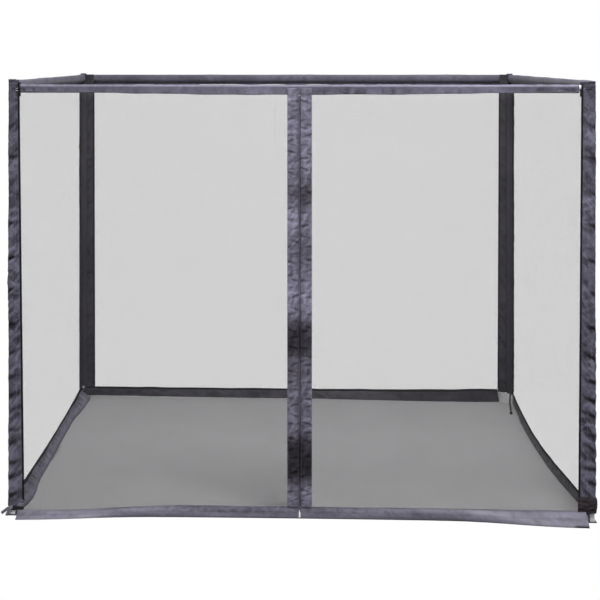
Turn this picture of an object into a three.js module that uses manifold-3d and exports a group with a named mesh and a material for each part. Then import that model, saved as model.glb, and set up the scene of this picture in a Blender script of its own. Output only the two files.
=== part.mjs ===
// Screen house: a square netting room hung on a telescopic-leg frame.
// Millimetres, +Z up. Origin: centre of the floor, on the ground.
// +X is to the right of a person looking at the zipped front, +Y is to the rear.
import * as THREE from 'three';
import { mergeVertices } from 'three/addons/utils/BufferGeometryUtils.js';
import Module from 'manifold-3d';

const wasm = await Module();
wasm.setup();

// ---------------------------------------------------------------- shared sizes
const WIDTH = 2950;          // width and depth over the corner sleeves
const HEIGHT = 2200;         // top of the corner sleeves
const EDGE = WIDTH / 2;      // outside face of the sleeves
const CLOTH = 1.2;           // polyester cloth thickness
const NET = 0.8;             // netting thickness

const SLEEVE = 35.6;         // corner sleeve channel, square, outside
const SLEEVE_IN = SLEEVE - 2 * CLOTH;
const LEG_MID = EDGE - SLEEVE / 2;   // leg centre line, in X and in Y

// Square leg tubes: outside and inside widths, bottom and top.
const UPPER = { out: 30, in: 27, bottom: 960, top: 2150 };
const LOWER = { out: 25.4, in: 22.8, bottom: 4.4, top: 1180 };

const BLOCK = 32;            // corner joint block, square
const PLUG_R = 10.8;         // joint plugs and swaged rail necks

// Centre line of each top rail: the front one sits a little lower.
const RAIL_Z = { front: 2170, rear: 2183, left: 2183, right: 2183 };
const RAIL_R = 12.5;
const RAIL_WALL = 1.2;

const BAND_DROP = 36;        // rail centre line to the bottom of the band's tail
const bandBottom = (wall) => RAIL_Z[wall] - BAND_DROP;

// The flat wings of the corner sleeves lie along the walls.
const WING_BOTTOM = 70;
const WING_BAND_GAP = 3;
const WING_TOP = bandBottom('front') - WING_BAND_GAP;   // on the front wall
// Inner edge of the wings, measured from the corner, at WING_BOTTOM and WING_TOP.
const WING = {
  fl: { bottom: 80, top: 56 },
  fr: { bottom: 85, top: 70 },
  rl: { bottom: 95, top: 90 },
  rr: { bottom: 95, top: 86 },
};

const HEM_BOTTOM = 1.8;
const HEM_TOP = 62;
const HEM_HALF = 1425;       // the hems stop short of the feet

// ---------------------------------------------------------------- materials
const MATERIALS = {
  steel: { color: '#c9cbce', roughness: 0.38, metalness: 0.85 },
  plastic: { color: '#17181a', roughness: 0.55, metalness: 0 },
  cloth: { color: '#67657a', roughness: 0.42, metalness: 0 },
  net: { color: '#8f9094', roughness: 0.8, metalness: 0 },
  webbing: { color: '#121215', roughness: 0.6, metalness: 0 },
  floor: { color: '#8b8b8c', roughness: 0.7, metalness: 0 },
  zip: { color: '#2b2a31', roughness: 0.5, metalness: 0 },
  metal: { color: '#55565c', roughness: 0.35, metalness: 0.9 },
};

const house = new THREE.Group();

function add(name, geometry, material) {
  const mesh = new THREE.Mesh(geometry, new THREE.MeshStandardMaterial(MATERIALS[material]));
  mesh.name = name;
  house.add(mesh);
}

// ---------------------------------------------------------------- solids
// True when the faces point inwards, which makes the enclosed volume negative.
function isInsideOut(geometry) {
  const { position } = geometry.attributes;
  const index = geometry.index.array;
  const [a, b, c] = [0, 1, 2].map(() => new THREE.Vector3());
  let sum = 0;
  for (let i = 0; i < index.length; i += 3) {
    a.fromBufferAttribute(position, index[i]);
    b.fromBufferAttribute(position, index[i + 1]);
    c.fromBufferAttribute(position, index[i + 2]);
    sum += a.dot(b.cross(c));
  }
  return sum < 0;
}

// Merges shared vertices, drops collapsed triangles and turns the faces outwards.
function closed(geometry) {
  const bare = geometry.clone();
  for (const key of Object.keys(bare.attributes)) {
    if (key !== 'position') bare.deleteAttribute(key);
  }
  const merged = mergeVertices(bare, 1e-4);
  const index = merged.index.array;
  const kept = [];
  for (let i = 0; i < index.length; i += 3) {
    const [a, b, c] = [index[i], index[i + 1], index[i + 2]];
    if (a !== b && b !== c && a !== c) kept.push(a, b, c);
  }
  merged.setIndex(kept);
  if (isInsideOut(merged)) {
    for (let i = 0; i < kept.length; i += 3) [kept[i], kept[i + 1]] = [kept[i + 1], kept[i]];
    merged.setIndex(kept);
  }
  merged.computeVertexNormals();
  return merged;
}

function toSolid(geometry) {
  const shell = closed(geometry);
  return new wasm.Manifold(new wasm.Mesh({
    numProp: 3,
    vertProperties: new Float32Array(shell.attributes.position.array),
    triVerts: new Uint32Array(shell.index.array),
  }));
}

function fromSolid(solid) {
  const { vertProperties, triVerts } = solid.getMesh();
  const geometry = new THREE.BufferGeometry();
  geometry.setAttribute('position', new THREE.BufferAttribute(vertProperties, 3));
  geometry.setIndex(Array.from(triVerts));
  return closed(geometry);
}

const join = (...parts) => fromSolid(parts.map(toSolid).reduce((sum, part) => sum.add(part)));
const cut = (body, ...tools) =>
  fromSolid(tools.map(toSolid).reduce((rest, tool) => rest.subtract(tool), toSolid(body)));

// A box between two limits on each axis, given in either order.
function box(x0, x1, y0, y1, z0, z1) {
  const geometry = new THREE.BoxGeometry(Math.abs(x1 - x0), Math.abs(y1 - y0), Math.abs(z1 - z0));
  return geometry.translate((x0 + x1) / 2, (y0 + y1) / 2, (z0 + z1) / 2);
}

// A round bar along X or Y, centred at (x, y, z).
function rod(axis, radius, length, [x, y, z], segments = 20) {
  const geometry = new THREE.CylinderGeometry(radius, radius, length, segments);
  if (axis === 'x') geometry.rotateZ(Math.PI / 2);
  return geometry.translate(x, y, z);
}

// Closes a path or shape through [x, y] points.
function outline(path, points) {
  path.setFromPoints(points.map(([x, y]) => new THREE.Vector2(x, y)));
  path.closePath();
  return path;
}

const extrude = (shape, depth) =>
  new THREE.ExtrudeGeometry(shape, { depth, bevelEnabled: false });

// A square tube standing on the leg centre line, from its two widths.
function squareTube(outside, inside, bottom, top) {
  const a = outside / 2;
  const b = inside / 2;
  const shape = outline(new THREE.Shape(), [[-a, -a], [a, -a], [a, a], [-a, a]]);
  shape.holes.push(outline(new THREE.Path(), [[-b, -b], [-b, b], [b, b], [b, -b]]));
  return extrude(shape, top - bottom).translate(LEG_MID, LEG_MID, bottom);
}

// A round tube along the rear wall from a wall profile of [radius, x] points.
function turnedAlongX(profile, z, segments = 20) {
  const points = [...profile, profile[0]].map(([radius, x]) => new THREE.Vector2(radius, x));
  const geometry = new THREE.LatheGeometry(points, segments);
  return geometry.rotateZ(-Math.PI / 2).translate(0, LEG_MID, z);
}

// A sheet of even thickness over a grid of points at(u, v), u and v from 0 to 1.
function sheet(at, columns, rows, thickness) {
  const step = 1e-3;   // half the span used to find the slopes
  const point = (u, v) => new THREE.Vector3(...at(u, v));
  const points = [];
  const normals = [];
  for (let i = 0; i <= columns; i++) {
    for (let j = 0; j <= rows; j++) {
      const u = i / columns;
      const v = j / rows;
      const slopeU = point(Math.min(1, u + step), v).sub(point(Math.max(0, u - step), v));
      const slopeV = point(u, Math.min(1, v + step)).sub(point(u, Math.max(0, v - step)));
      points.push(point(u, v));
      normals.push(slopeU.cross(slopeV).normalize());
    }
  }

  const positions = [];
  for (const offset of [thickness / 2, -thickness / 2]) {
    points.forEach((p, k) => {
      positions.push(...p.clone().addScaledVector(normals[k], offset).toArray());
    });
  }

  const n = points.length;   // index of the first point on the second face
  const id = (i, j) => i * (rows + 1) + j;
  const index = [];
  for (let i = 0; i < columns; i++) {
    for (let j = 0; j < rows; j++) {
      const [a, b, c, d] = [id(i, j), id(i + 1, j), id(i + 1, j + 1), id(i, j + 1)];
      index.push(a, b, c, a, c, d);
      index.push(n + a, n + c, n + b, n + a, n + d, n + c);
    }
  }
  const rim = (a, b) => index.push(a, n + a, n + b, a, n + b, b);
  for (let i = 0; i < columns; i++) {
    rim(id(i, 0), id(i + 1, 0));
    rim(id(i + 1, rows), id(i, rows));
  }
  for (let j = 0; j < rows; j++) {
    rim(id(columns, j), id(columns, j + 1));
    rim(id(0, j + 1), id(0, j));
  }

  const geometry = new THREE.BufferGeometry();
  geometry.setAttribute('position', new THREE.Float32BufferAttribute(positions, 3));
  geometry.setIndex(index);
  return closed(geometry);
}

// A shape drawn for the corner at +X +Y, mirrored to any corner.
const toCorner = (geometry, [signX, signY]) => closed(geometry.clone().scale(signX, signY, 1));

// A shape drawn for the rear wall, turned to any wall.
const WALL_TURN = { front: Math.PI, rear: 0, left: Math.PI / 2, right: -Math.PI / 2 };
const toWall = (geometry, wall) => closed(geometry.clone().rotateZ(WALL_TURN[wall]));

const lerp = (a, b, t) => a + (b - a) * t;

// Wing inner edge, measured from the corner, at a height.
function wingAt(corner, z) {
  const rise = (Math.max(z, WING_BOTTOM) - WING_BOTTOM) / (WING_TOP - WING_BOTTOM);
  return lerp(WING[corner].bottom, WING[corner].top, rise);
}

// ---------------------------------------------------------------- corners
// All drawn for the corner at +X +Y.
const BUTTON_Z = 1120;       // snap button, and the top one of three holes
const HOLE_PITCH = 50;
const HOLE_R = 4.3;
const HOLE_CUT = 8;          // length of the cutting rod

// A button hole through the room side of a tube.
const buttonHole = (tube, z) =>
  rod('y', HOLE_R, HOLE_CUT, [LEG_MID, LEG_MID - tube.out / 2, z], 14);

function leg(tube, holeCount) {
  const holes = [];
  for (let k = 0; k < holeCount; k++) holes.push(buttonHole(tube, BUTTON_Z - k * HOLE_PITCH));
  return cut(squareTube(tube.out, tube.in, tube.bottom, tube.top), ...holes);
}

// Snap button: a shank through both tubes with a flange inside the lower leg.
function snapButton() {
  const shank = { radius: 3.7, length: 5.4, proud: 1.2 };
  const flange = { radius: 6, length: 1.6, clearance: 0.3 };
  const disc = ({ radius, length }, y) =>
    rod('y', radius, length, [LEG_MID, y + length / 2, BUTTON_Z], 14);
  return join(
    disc(shank, LEG_MID - UPPER.out / 2 - shank.proud),
    disc(flange, LEG_MID - LOWER.in / 2 + flange.clearance));
}

// Foot: plate with a raised socket round the end of the lower leg.
function foot() {
  const half = 46 / 2;
  const thickness = 4;
  const socket = { out: 31, in: 26.2, top: 16, overlap: 1 };
  const [low, high] = [LEG_MID - half, LEG_MID + half];
  return join(
    box(low, high, low, high, 0, thickness),
    squareTube(socket.out, socket.in, thickness - socket.overlap, socket.top));
}

// Corner joint: block with a plug down into the leg and one into each rail.
function cornerJoint(wallX, wallY) {
  const block = { bottom: 2150.4, top: 2198.2 };
  const overlap = 1;
  const legPlug = { half: UPPER.in / 2 - 0.4, bottom: 2080 };
  const railPlugLength = 60;
  const standing = (half, bottom, top) =>
    box(LEG_MID - half, LEG_MID + half, LEG_MID - half, LEG_MID + half, bottom, top);
  const plugMid = LEG_MID - BLOCK / 2 + overlap - railPlugLength / 2;
  return join(
    standing(BLOCK / 2, block.bottom, block.top),
    standing(legPlug.half, legPlug.bottom, block.bottom + overlap),
    rod('x', PLUG_R, railPlugLength, [plugMid, LEG_MID, RAIL_Z[wallX]]),
    rod('y', PLUG_R, railPlugLength, [LEG_MID, plugMid, RAIL_Z[wallY]]));
}

// Corner sleeve: square cloth channel round the leg, closed over the joint,
// open where the rails enter, with a tapered wing along each wall.
function cornerSleeve(corner, wallX, wallY) {
  const bottom = 47;
  const capOverlap = 0.2;
  const wingThickness = CLOTH - 0.1;
  const wingOuter = LEG_MID - SLEEVE / 2 + 0.6;
  const opening = { near: 30, far: 10, half: SLEEVE_IN / 2 - 0.8, overRail: 1.4 };

  // place puts (along the wall, across it, height) on the X or the Y wall.
  const wing = (wall, place) => sheet((u, v) => {
    const z = lerp(WING_BOTTOM, bandBottom(wall) - WING_BAND_GAP, v);
    return place(lerp(wingOuter, EDGE - wingAt(corner, z), u), EDGE - CLOTH / 2, z);
  }, 1, 1, wingThickness);

  const along = [LEG_MID - opening.near, LEG_MID - opening.far];
  const across = [LEG_MID - opening.half, LEG_MID + opening.half];
  const heights = (wall) => [bandBottom(wall), RAIL_Z[wall] + RAIL_R + opening.overRail];

  const [low, high] = [LEG_MID - SLEEVE / 2, LEG_MID + SLEEVE / 2];
  const body = join(
    squareTube(SLEEVE, SLEEVE_IN, bottom, HEIGHT - CLOTH + capOverlap),
    box(low, high, low, high, HEIGHT - CLOTH, HEIGHT),
    wing(wallX, (t, n, z) => [t, n, z]),
    wing(wallY, (t, n, z) => [n, t, z]));
  return cut(body,
    box(...along, ...across, ...heights(wallX)),
    box(...across, ...along, ...heights(wallY)));
}

// Bottom strap: webbing loop round the lower leg with a short tail along X.
function cornerStrap() {
  const loop = { out: 31, in: 28.2, bottom: 24, top: 43 };
  const tail = { reach: 29, root: 0.6, inset: [0.4, 0.2], bottom: 26, top: 41 };
  return join(
    squareTube(loop.out, loop.in, loop.bottom, loop.top),
    box(LEG_MID - tail.reach, LEG_MID - loop.out / 2 + tail.root,
      LEG_MID + loop.in / 2 - tail.inset[0], LEG_MID + loop.out / 2 - tail.inset[1],
      tail.bottom, tail.top));
}

// Corner names: front or rear, then left or right.
const CORNERS = { fl: [-1, -1], fr: [1, -1], rl: [-1, 1], rr: [1, 1] };

for (const [corner, signs] of Object.entries(CORNERS)) {
  const wallX = signs[1] < 0 ? 'front' : 'rear';    // the wall that runs along X
  const wallY = signs[0] < 0 ? 'left' : 'right';    // the wall that runs along Y
  const addHere = (name, geometry, material) =>
    add(`${name}_${corner}`, toCorner(geometry, signs), material);

  addHere('leg_upper', leg(UPPER, 3), 'steel');
  addHere('leg_lower', leg(LOWER, 1), 'steel');
  addHere('snap_button', snapButton(), 'metal');
  addHere('foot', foot(), 'plastic');
  addHere('corner_joint', cornerJoint(wallX, wallY), 'plastic');
  addHere('corner_sleeve', cornerSleeve(corner, wallX, wallY), 'cloth');
  addHere('corner_strap', cornerStrap(), 'webbing');
}

// ---------------------------------------------------------------- top rails and bands
const RAIL_END = LEG_MID - BLOCK / 2 - 0.5;
const RAIL_IN = RAIL_R - RAIL_WALL;

// Rail half with a swaged neck: the left half, seen from inside the room.
function neckedRail(z) {
  return turnedAlongX([
    [RAIL_IN, -RAIL_END], [RAIL_R, -RAIL_END], [RAIL_R, -0.5],
    [PLUG_R, 3], [PLUG_R, 60],
    [PLUG_R - RAIL_WALL, 60], [PLUG_R - RAIL_WALL, 2], [RAIL_IN, -1.5],
  ], z);
}

// Plain rail half, which takes the neck.
function plainRail(z) {
  const start = 4.5;
  return turnedAlongX(
    [[RAIL_IN, start], [RAIL_R, start], [RAIL_R, RAIL_END], [RAIL_IN, RAIL_END]], z);
}

// Top band: cloth channel round the rail with a flat tail on its outside.
function topBand(wall) {
  const inner = 13;
  const outer = inner + CLOTH;
  const half = LEG_MID - SLEEVE / 2 - 0.7;
  const channel = turnedAlongX(
    [[inner, -half], [outer, -half], [outer, half], [inner, half]], RAIL_Z[wall], 24);
  const tail = box(-half, half, LEG_MID + inner + 0.05, LEG_MID + outer - 0.02,
    bandBottom(wall), RAIL_Z[wall]);
  return join(channel, tail);
}

for (const [wall, z] of Object.entries(RAIL_Z)) {
  add(`top_rail_${wall}_a`, toWall(neckedRail(z), wall), 'steel');
  add(`top_rail_${wall}_b`, toWall(plainRail(z), wall), 'steel');
  add(`top_band_${wall}`, toWall(topBand(wall), wall), 'cloth');
}

// ---------------------------------------------------------------- walls and hems
// t runs along a wall from its middle: towards +X on the rear wall, and towards
// the rear on the side walls. n is the distance outwards from the house's middle.
const WALL_OUT = 1474.2;     // n of the netting, and of the hem tops at the corners
const BELLY = 500;           // height over which a wall's inward bow fades out
const MESH_SIDE_GAP = 0.8;   // netting to wing
const MESH_TOP_GAP = 0.6;    // netting to band
const MESH_HEM_GAP = 1;      // netting to hem

// ends: corners at low and high t. bottomOut: n of the hem's bottom edge at the
// corners. topBow, bottomBow: how far the hem's edges bow inwards at mid-wall.
const WALLS = {
  rear: {
    ends: ['rl', 'rr'], bottomOut: 1472, topBow: 22, bottomBow: 48,
    place: (t, n, z) => [t, n, z],
  },
  left: {
    ends: ['fl', 'rl'], bottomOut: 1440, topBow: 16, bottomBow: 26,
    place: (t, n, z) => [-n, t, z],
  },
  right: {
    ends: ['fr', 'rr'], bottomOut: 1466, topBow: 26, bottomBow: 46,
    place: (t, n, z) => [n, t, z],
  },
};

const bow = (t) => Math.sin(Math.PI * (t + EDGE) / (2 * EDGE));
const hemTopAt = (wall, t) => WALL_OUT - WALLS[wall].topBow * bow(t);
const hemBottomAt = (wall, t) => WALLS[wall].bottomOut - WALLS[wall].bottomBow * bow(t);

const meshHeight = (wall, v) =>
  lerp(HEM_TOP + MESH_HEM_GAP, bandBottom(wall) - MESH_TOP_GAP, v);
const meshReach = (corner, z) => EDGE - wingAt(corner, z) - MESH_SIDE_GAP;

function wallMesh(wall) {
  const { ends, place } = WALLS[wall];
  return sheet((u, v) => {
    const z = meshHeight(wall, v);
    const t = lerp(-meshReach(ends[0], z), meshReach(ends[1], z), u);
    const bowed = 1 - THREE.MathUtils.smoothstep(z, HEM_TOP, HEM_TOP + BELLY);
    return place(t, lerp(WALL_OUT, hemTopAt(wall, t), bowed), z);
  }, 16, 16, NET);
}

function wallHem(wall) {
  return sheet((u, v) => {
    const t = lerp(-HEM_HALF, HEM_HALF, u);
    const n = lerp(hemBottomAt(wall, t), hemTopAt(wall, t), v);
    return WALLS[wall].place(t, n, lerp(HEM_BOTTOM, HEM_TOP, v));
  }, 24, 2, CLOTH);
}

for (const wall of Object.keys(WALLS)) {
  add(`wall_mesh_${wall}`, wallMesh(wall), 'net');
  add(`hem_${wall}`, wallHem(wall), 'cloth');
}

// ---------------------------------------------------------------- the front door
const DOOR_Y = -1472.7;      // leaves and facing strips, just outside the band
const STRIP = { inner: 4.8, width: 57, bottom: 64, top: 2168 };   // beside the zip
const STRIP_OUTER = STRIP.inner + STRIP.width;
const STRIP_GAP = 0.6;       // facing strip to netting
const HEM_KICK = 2;          // how far forward the hem's bottom edge starts

const ZIP_BOTTOM = 8;
const ZIP_TOP = 2131;
const ZIP_Y = -1471.2;       // middle of the chain
// Distances from the house's middle in X, and from front to back in Y.
const TAPE = { inner: 1.2, outer: 14, front: -1471.6, back: -1470.7 };
const CHAIN = { inner: 0.8, outer: 3.6, half: 1.4 };

// How far the front hem's bottom edge flares forward, growing to the corners.
const flare = (x) => 44 * Math.pow(Math.abs(x) / HEM_HALF, 2.2);

// Netting from the facing strip to the corner wing.
function leafMesh(sign, corner) {
  return sheet((u, v) => {
    const z = meshHeight('front', v);
    return [sign * lerp(STRIP_OUTER + STRIP_GAP, meshReach(corner, z), u), DOOR_Y, z];
  }, 12, 12, NET);
}

function leafHem(sign) {
  return sheet((u, v) => {
    const x = lerp(STRIP.inner, HEM_HALF, u);
    const y = lerp(DOOR_Y - HEM_KICK - flare(x), DOOR_Y, v);
    return [sign * x, y, lerp(HEM_BOTTOM, HEM_TOP, v)];
  }, 14, 2, CLOTH);
}

function leafStrip(sign) {
  return closed(box(sign * STRIP.inner, sign * STRIP_OUTER,
    DOOR_Y - CLOTH / 2, DOOR_Y + CLOTH / 2, STRIP.bottom, STRIP.top));
}

// Zip half: a tape behind the strip, and the chain along its edge.
function zipHalf(sign) {
  return join(
    box(sign * TAPE.outer, sign * TAPE.inner, TAPE.front, TAPE.back, ZIP_BOTTOM, ZIP_TOP),
    box(sign * CHAIN.inner, sign * CHAIN.outer,
      ZIP_Y - CHAIN.half, ZIP_Y + CHAIN.half, ZIP_BOTTOM, ZIP_TOP));
}

const SIDES = [
  { side: 'left', sign: -1, corner: 'fl' },
  { side: 'right', sign: 1, corner: 'fr' },
];

for (const { side, sign, corner } of SIDES) {
  add(`leaf_mesh_${side}`, leafMesh(sign, corner), 'net');
  add(`leaf_hem_${side}`, leafHem(sign), 'cloth');
  add(`leaf_strip_${side}`, leafStrip(sign), 'cloth');
  add(`zip_chain_${side}`, zipHalf(sign), 'zip');
}

// ---------------------------------------------------------------- zip slider and pulls
const SLIDER_Z = 38;         // middle of the slider, zip closed
const PIN_OUT = 6.2;         // pin centre from the middle of the chain, in Y
const PIN_Z = SLIDER_Z + 4.5;

// Slider: two plates either side of the chain, joined by a bridge, and a
// two-cheeked lug with a pin on each plate for its pull.
function zipSlider() {
  const plate = { halfWidth: 4.2, halfHeight: 11, inner: 1.9, outer: 3.6 };
  const bridge = { halfWidth: 0.5, reach: 3.2, top: -3 };
  const cheek = { inner: 2.2, outer: 3.4, root: 3, pastPin: 1.6, bottom: 2, top: 7 };
  const pin = { radius: 0.9, length: 6 };
  const bottom = SLIDER_Z - plate.halfHeight;

  const plates = [-1, 1].map((dir) => box(-plate.halfWidth, plate.halfWidth,
    ZIP_Y + dir * plate.inner, ZIP_Y + dir * plate.outer,
    bottom, SLIDER_Z + plate.halfHeight));
  const lugs = [-1, 1].flatMap((dir) => {
    const pinY = ZIP_Y + dir * PIN_OUT;
    const cheeks = [-1, 1].map((sign) => box(sign * cheek.inner, sign * cheek.outer,
      ZIP_Y + dir * cheek.root, pinY + dir * cheek.pastPin,
      SLIDER_Z + cheek.bottom, SLIDER_Z + cheek.top));
    return [...cheeks, rod('x', pin.radius, pin.length, [0, pinY, PIN_Z], 12)];
  });
  return join(
    ...plates,
    box(-bridge.halfWidth, bridge.halfWidth, ZIP_Y - bridge.reach, ZIP_Y + bridge.reach,
      bottom, SLIDER_Z + bridge.top),
    ...lugs);
}

// Pull: an eye round the pin and a flat tab hanging from it by a neck.
function zipPull(dir) {
  const eye = { radius: 2.3, hole: 1.3, width: 3.4, cutWidth: 6 };
  // Half sizes in X and Y, and drops below the pin.
  const neck = { halfX: 1.7, halfY: 0.8, top: 1.4, bottom: 8 };
  const tab = { halfX: 4.5, halfY: 0.9, top: 7, bottom: 34 };
  const y = ZIP_Y + dir * PIN_OUT;
  const hanging = ({ halfX, halfY, top, bottom }) =>
    box(-halfX, halfX, y - halfY, y + halfY, PIN_Z - bottom, PIN_Z - top);
  const body = join(
    rod('x', eye.radius, eye.width, [0, y, PIN_Z], 16), hanging(neck), hanging(tab));
  return cut(body, rod('x', eye.hole, eye.cutWidth, [0, y, PIN_Z], 12));
}

add('zip_slider', zipSlider(), 'metal');
add('zip_pull_outer', zipPull(-1), 'metal');
add('zip_pull_inner', zipPull(1), 'metal');

// ---------------------------------------------------------------- floor
// Groundsheet: its edge follows the bottom edges of the hems, notched at the feet.
function groundSheet() {
  const notch = 1426;
  const steps = 12;
  const pastHem = 6;
  const frontInset = 4;
  const flareShare = 0.6;    // share of the front hem's flare that it follows
  const reach = (wall, t) => hemBottomAt(wall, t) + pastHem;
  // Each edge in turn, anticlockwise from above, with the notch corner after it.
  const edges = [
    { at: (t) => [t, DOOR_Y - flare(t) * flareShare + frontInset], corner: [notch, -notch] },
    { at: (t) => [reach('right', t), t], corner: [notch, notch] },
    { at: (t) => [-t, reach('rear', -t)], corner: [-notch, notch] },
    { at: (t) => [-reach('left', -t), -t], corner: [-notch, -notch] },
  ];
  const points = [];
  for (const { at, corner } of edges) {
    for (let i = 0; i <= steps; i++) points.push(at(lerp(-notch, notch, i / steps)));
    points.push(corner);
  }
  return closed(extrude(outline(new THREE.Shape(), points), CLOTH));
}

add('ground_sheet', groundSheet(), 'floor');

// ---------------------------------------------------------------- band rings
// A small upright ring near each end of the front band.
function bandRing(sign) {
  const ring = { radius: 7, wire: 1.1, x: 1429.5, y: -1473.4, z: 2159 };
  const geometry = new THREE.TorusGeometry(ring.radius, ring.wire, 8, 20);
  return closed(geometry.rotateX(Math.PI / 2).translate(sign * ring.x, ring.y, ring.z));
}

for (const { side, sign } of SIDES) add(`band_ring_${side}`, bandRing(sign), 'metal');

export default house;
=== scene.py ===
"""Looks for the screen house: cloth, netting, straps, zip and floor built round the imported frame."""
import math

import bpy
import numpy as np
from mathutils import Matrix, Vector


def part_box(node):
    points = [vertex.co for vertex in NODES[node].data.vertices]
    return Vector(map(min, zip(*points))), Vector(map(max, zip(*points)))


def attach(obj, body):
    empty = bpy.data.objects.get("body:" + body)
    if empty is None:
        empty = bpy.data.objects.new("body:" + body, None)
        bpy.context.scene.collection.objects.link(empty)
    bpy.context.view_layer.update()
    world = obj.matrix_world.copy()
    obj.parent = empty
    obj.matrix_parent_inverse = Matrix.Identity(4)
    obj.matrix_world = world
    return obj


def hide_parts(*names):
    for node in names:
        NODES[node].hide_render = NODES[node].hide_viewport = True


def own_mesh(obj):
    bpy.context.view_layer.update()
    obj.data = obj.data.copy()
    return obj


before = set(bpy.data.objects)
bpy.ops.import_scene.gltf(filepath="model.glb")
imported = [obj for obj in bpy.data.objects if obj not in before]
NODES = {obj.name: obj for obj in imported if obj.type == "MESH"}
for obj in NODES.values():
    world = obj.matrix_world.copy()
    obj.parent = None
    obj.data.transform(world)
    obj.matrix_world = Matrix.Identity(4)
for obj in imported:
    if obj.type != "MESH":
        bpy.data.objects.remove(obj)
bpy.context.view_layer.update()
MM = 0.001


# ------------------------------------------------------------------ frame reading
def box(n):
    lo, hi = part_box(n)
    return np.array(lo), np.array(hi)


def cad(n):
    me = NODES[n].data
    co = np.zeros(len(me.vertices) * 3, np.float32)
    me.vertices.foreach_get("co", co)
    return co.reshape(-1, 3).astype(float)


_sl = box("corner_sleeve_rr")
EDGE = float(_sl[1][0])                      # outside face of the walls
TOP = float(_sl[1][2])                       # top of the corner sleeves
SLEEVE_Z0 = float(_sl[0][2])
_lg = box("leg_upper_rr")
C = float((_lg[0][0] + _lg[1][0]) / 2)       # leg centre line
WALLS = ("front", "rear", "left", "right")
_r = {w: box("top_rail_" + w + "_b") for w in WALLS}
RAIL_Z = {w: float((_r[w][0][2] + _r[w][1][2]) / 2) for w in WALLS}
_b = {w: box("top_band_" + w) for w in WALLS}
BAND_Z0 = {w: float(_b[w][0][2]) for w in WALLS}
BAND_Z1 = {w: float(_b[w][1][2]) for w in WALLS}
BAND_T = float(_b["rear"][1][0])
_st = box("leaf_strip_right")
STRIP_X0, STRIP_X1 = float(_st[0][0]), float(_st[1][0])
STRIP_Z0, STRIP_Z1 = float(_st[0][2]), float(_st[1][2])
LEAF_Y = float((_st[0][1] + _st[1][1]) / 2)
HEM_Z1 = float(box("hem_rear")[1][2])
HEM_T = float(box("hem_rear")[1][0])


def wing_widths(key):
    """Wing width at its bottom and at its top, read off the CAD sleeve."""
    v = np.abs(cad("corner_sleeve_" + key))
    flat = v[(v[:, 0] < EDGE - 0.045) & (v[:, 1] > EDGE - 0.002)]
    z0, z1 = flat[:, 2].min(), flat[:, 2].max()
    w0 = EDGE - flat[np.abs(flat[:, 2] - z0) < 1e-3][:, 0].min()
    w1 = EDGE - flat[np.abs(flat[:, 2] - z1) < 1e-3][:, 0].min()
    return float(w0), float(w1), float(z0), float(z1)


CORNERS = {"fl": (-1, -1), "fr": (1, -1), "rl": (-1, 1), "rr": (1, 1)}
WING = {k: wing_widths(k) for k in CORNERS}


def wing_at(key, z):
    w0, w1, z0, z1 = WING[key]
    return w0 + (w1 - w0) * np.clip((z - z0) / (z1 - z0), 0, 1)


def hem_curves(node, axis_t, axis_n):
    """Outward distance of a CAD hem's top and bottom edge against the run along the wall."""
    v = cad(node)
    t, n, z = v[:, axis_t], np.abs(v[:, axis_n]), v[:, 2]
    zt, zb = z.max(), z.min()
    out = []
    for sel in (z > zt - 0.004, z < zb + 0.004):
        ts, ns = t[sel], n[sel]
        order = np.argsort(ts)
        ts, ns = ts[order], ns[order]
        keys = np.round(ts / 0.02).astype(int)
        ku = np.unique(keys)
        out.append((np.array([ts[keys == k].mean() for k in ku]),
                    np.array([ns[keys == k].mean() for k in ku])))
    return out


HEM = {"rear": hem_curves("hem_rear", 0, 1), "left": hem_curves("hem_left", 1, 0),
       "right": hem_curves("hem_right", 1, 0)}


def hem_n(wall, t, which):
    a, b = HEM[wall][which]
    return np.interp(t, a, b)


def hem_top_n(wall, t):
    """Outward distance of a hem's top edge; the right one is drawn in between its ends."""
    n = hem_n(wall, t, 0)
    if wall == "right":
        n = n - 0.026 * np.cos(np.clip(t / 1.44, -1, 1) * math.pi / 2) ** 1.3
    return n


def hem_foot_n(wall, t):
    """Outward distance of a hem's bottom edge, where it lies on the groundsheet."""
    n = hem_n(wall, t, 1)
    if wall == "left":
        n = n - 0.031 * np.exp(-((t + 1.16) / 0.27) ** 2) * smooth((t + 1.47) / 0.16)
        n = n + 0.009 * np.exp(-((t - 0.25) / 0.5) ** 2)
        n = n - 0.036 * smooth((t - 0.62) / 0.70) * smooth((1.425 - t) / 0.045)
    elif wall == "right":
        n = n - 0.006 * np.clip(1 - (t / 1.2) ** 2, 0, 1) + np.where(t < 0, 0.034, 0.020) * smooth((np.abs(t) - 0.75) / 0.60)
    else:
        n = n - 0.084 * smooth((t - 0.1) / 1.2)
    return np.minimum(n, hem_top_n(wall, t) - 0.006)


# ------------------------------------------------------------------ noise
def _hash(ix, iy, seed):
    h = (ix.astype(np.int64) * 374761393 + iy.astype(np.int64) * 668265263 + int(seed) * 362437) & 0xFFFFFFFF
    h = ((h ^ (h >> 13)) * 1274126177) & 0xFFFFFFFF
    h = ((h ^ (h >> 16)) * 2246822519) & 0xFFFFFFFF
    return ((h ^ (h >> 15)) & 0xFFFF) / 32767.5 - 1.0


def vnoise(x, y, seed):
    x, y = np.broadcast_arrays(np.asarray(x, float), np.asarray(y, float))
    xi, yi = np.floor(x), np.floor(y)
    fx, fy = x - xi, y - yi
    fx = fx * fx * fx * (fx * (fx * 6 - 15) + 10)
    fy = fy * fy * fy * (fy * (fy * 6 - 15) + 10)
    xi, yi = xi.astype(np.int64), yi.astype(np.int64)
    a, b = _hash(xi, yi, seed), _hash(xi + 1, yi, seed)
    c, d = _hash(xi, yi + 1, seed), _hash(xi + 1, yi + 1, seed)
    return (a + (b - a) * fx) * (1 - fy) + (c + (d - c) * fx) * fy


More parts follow.
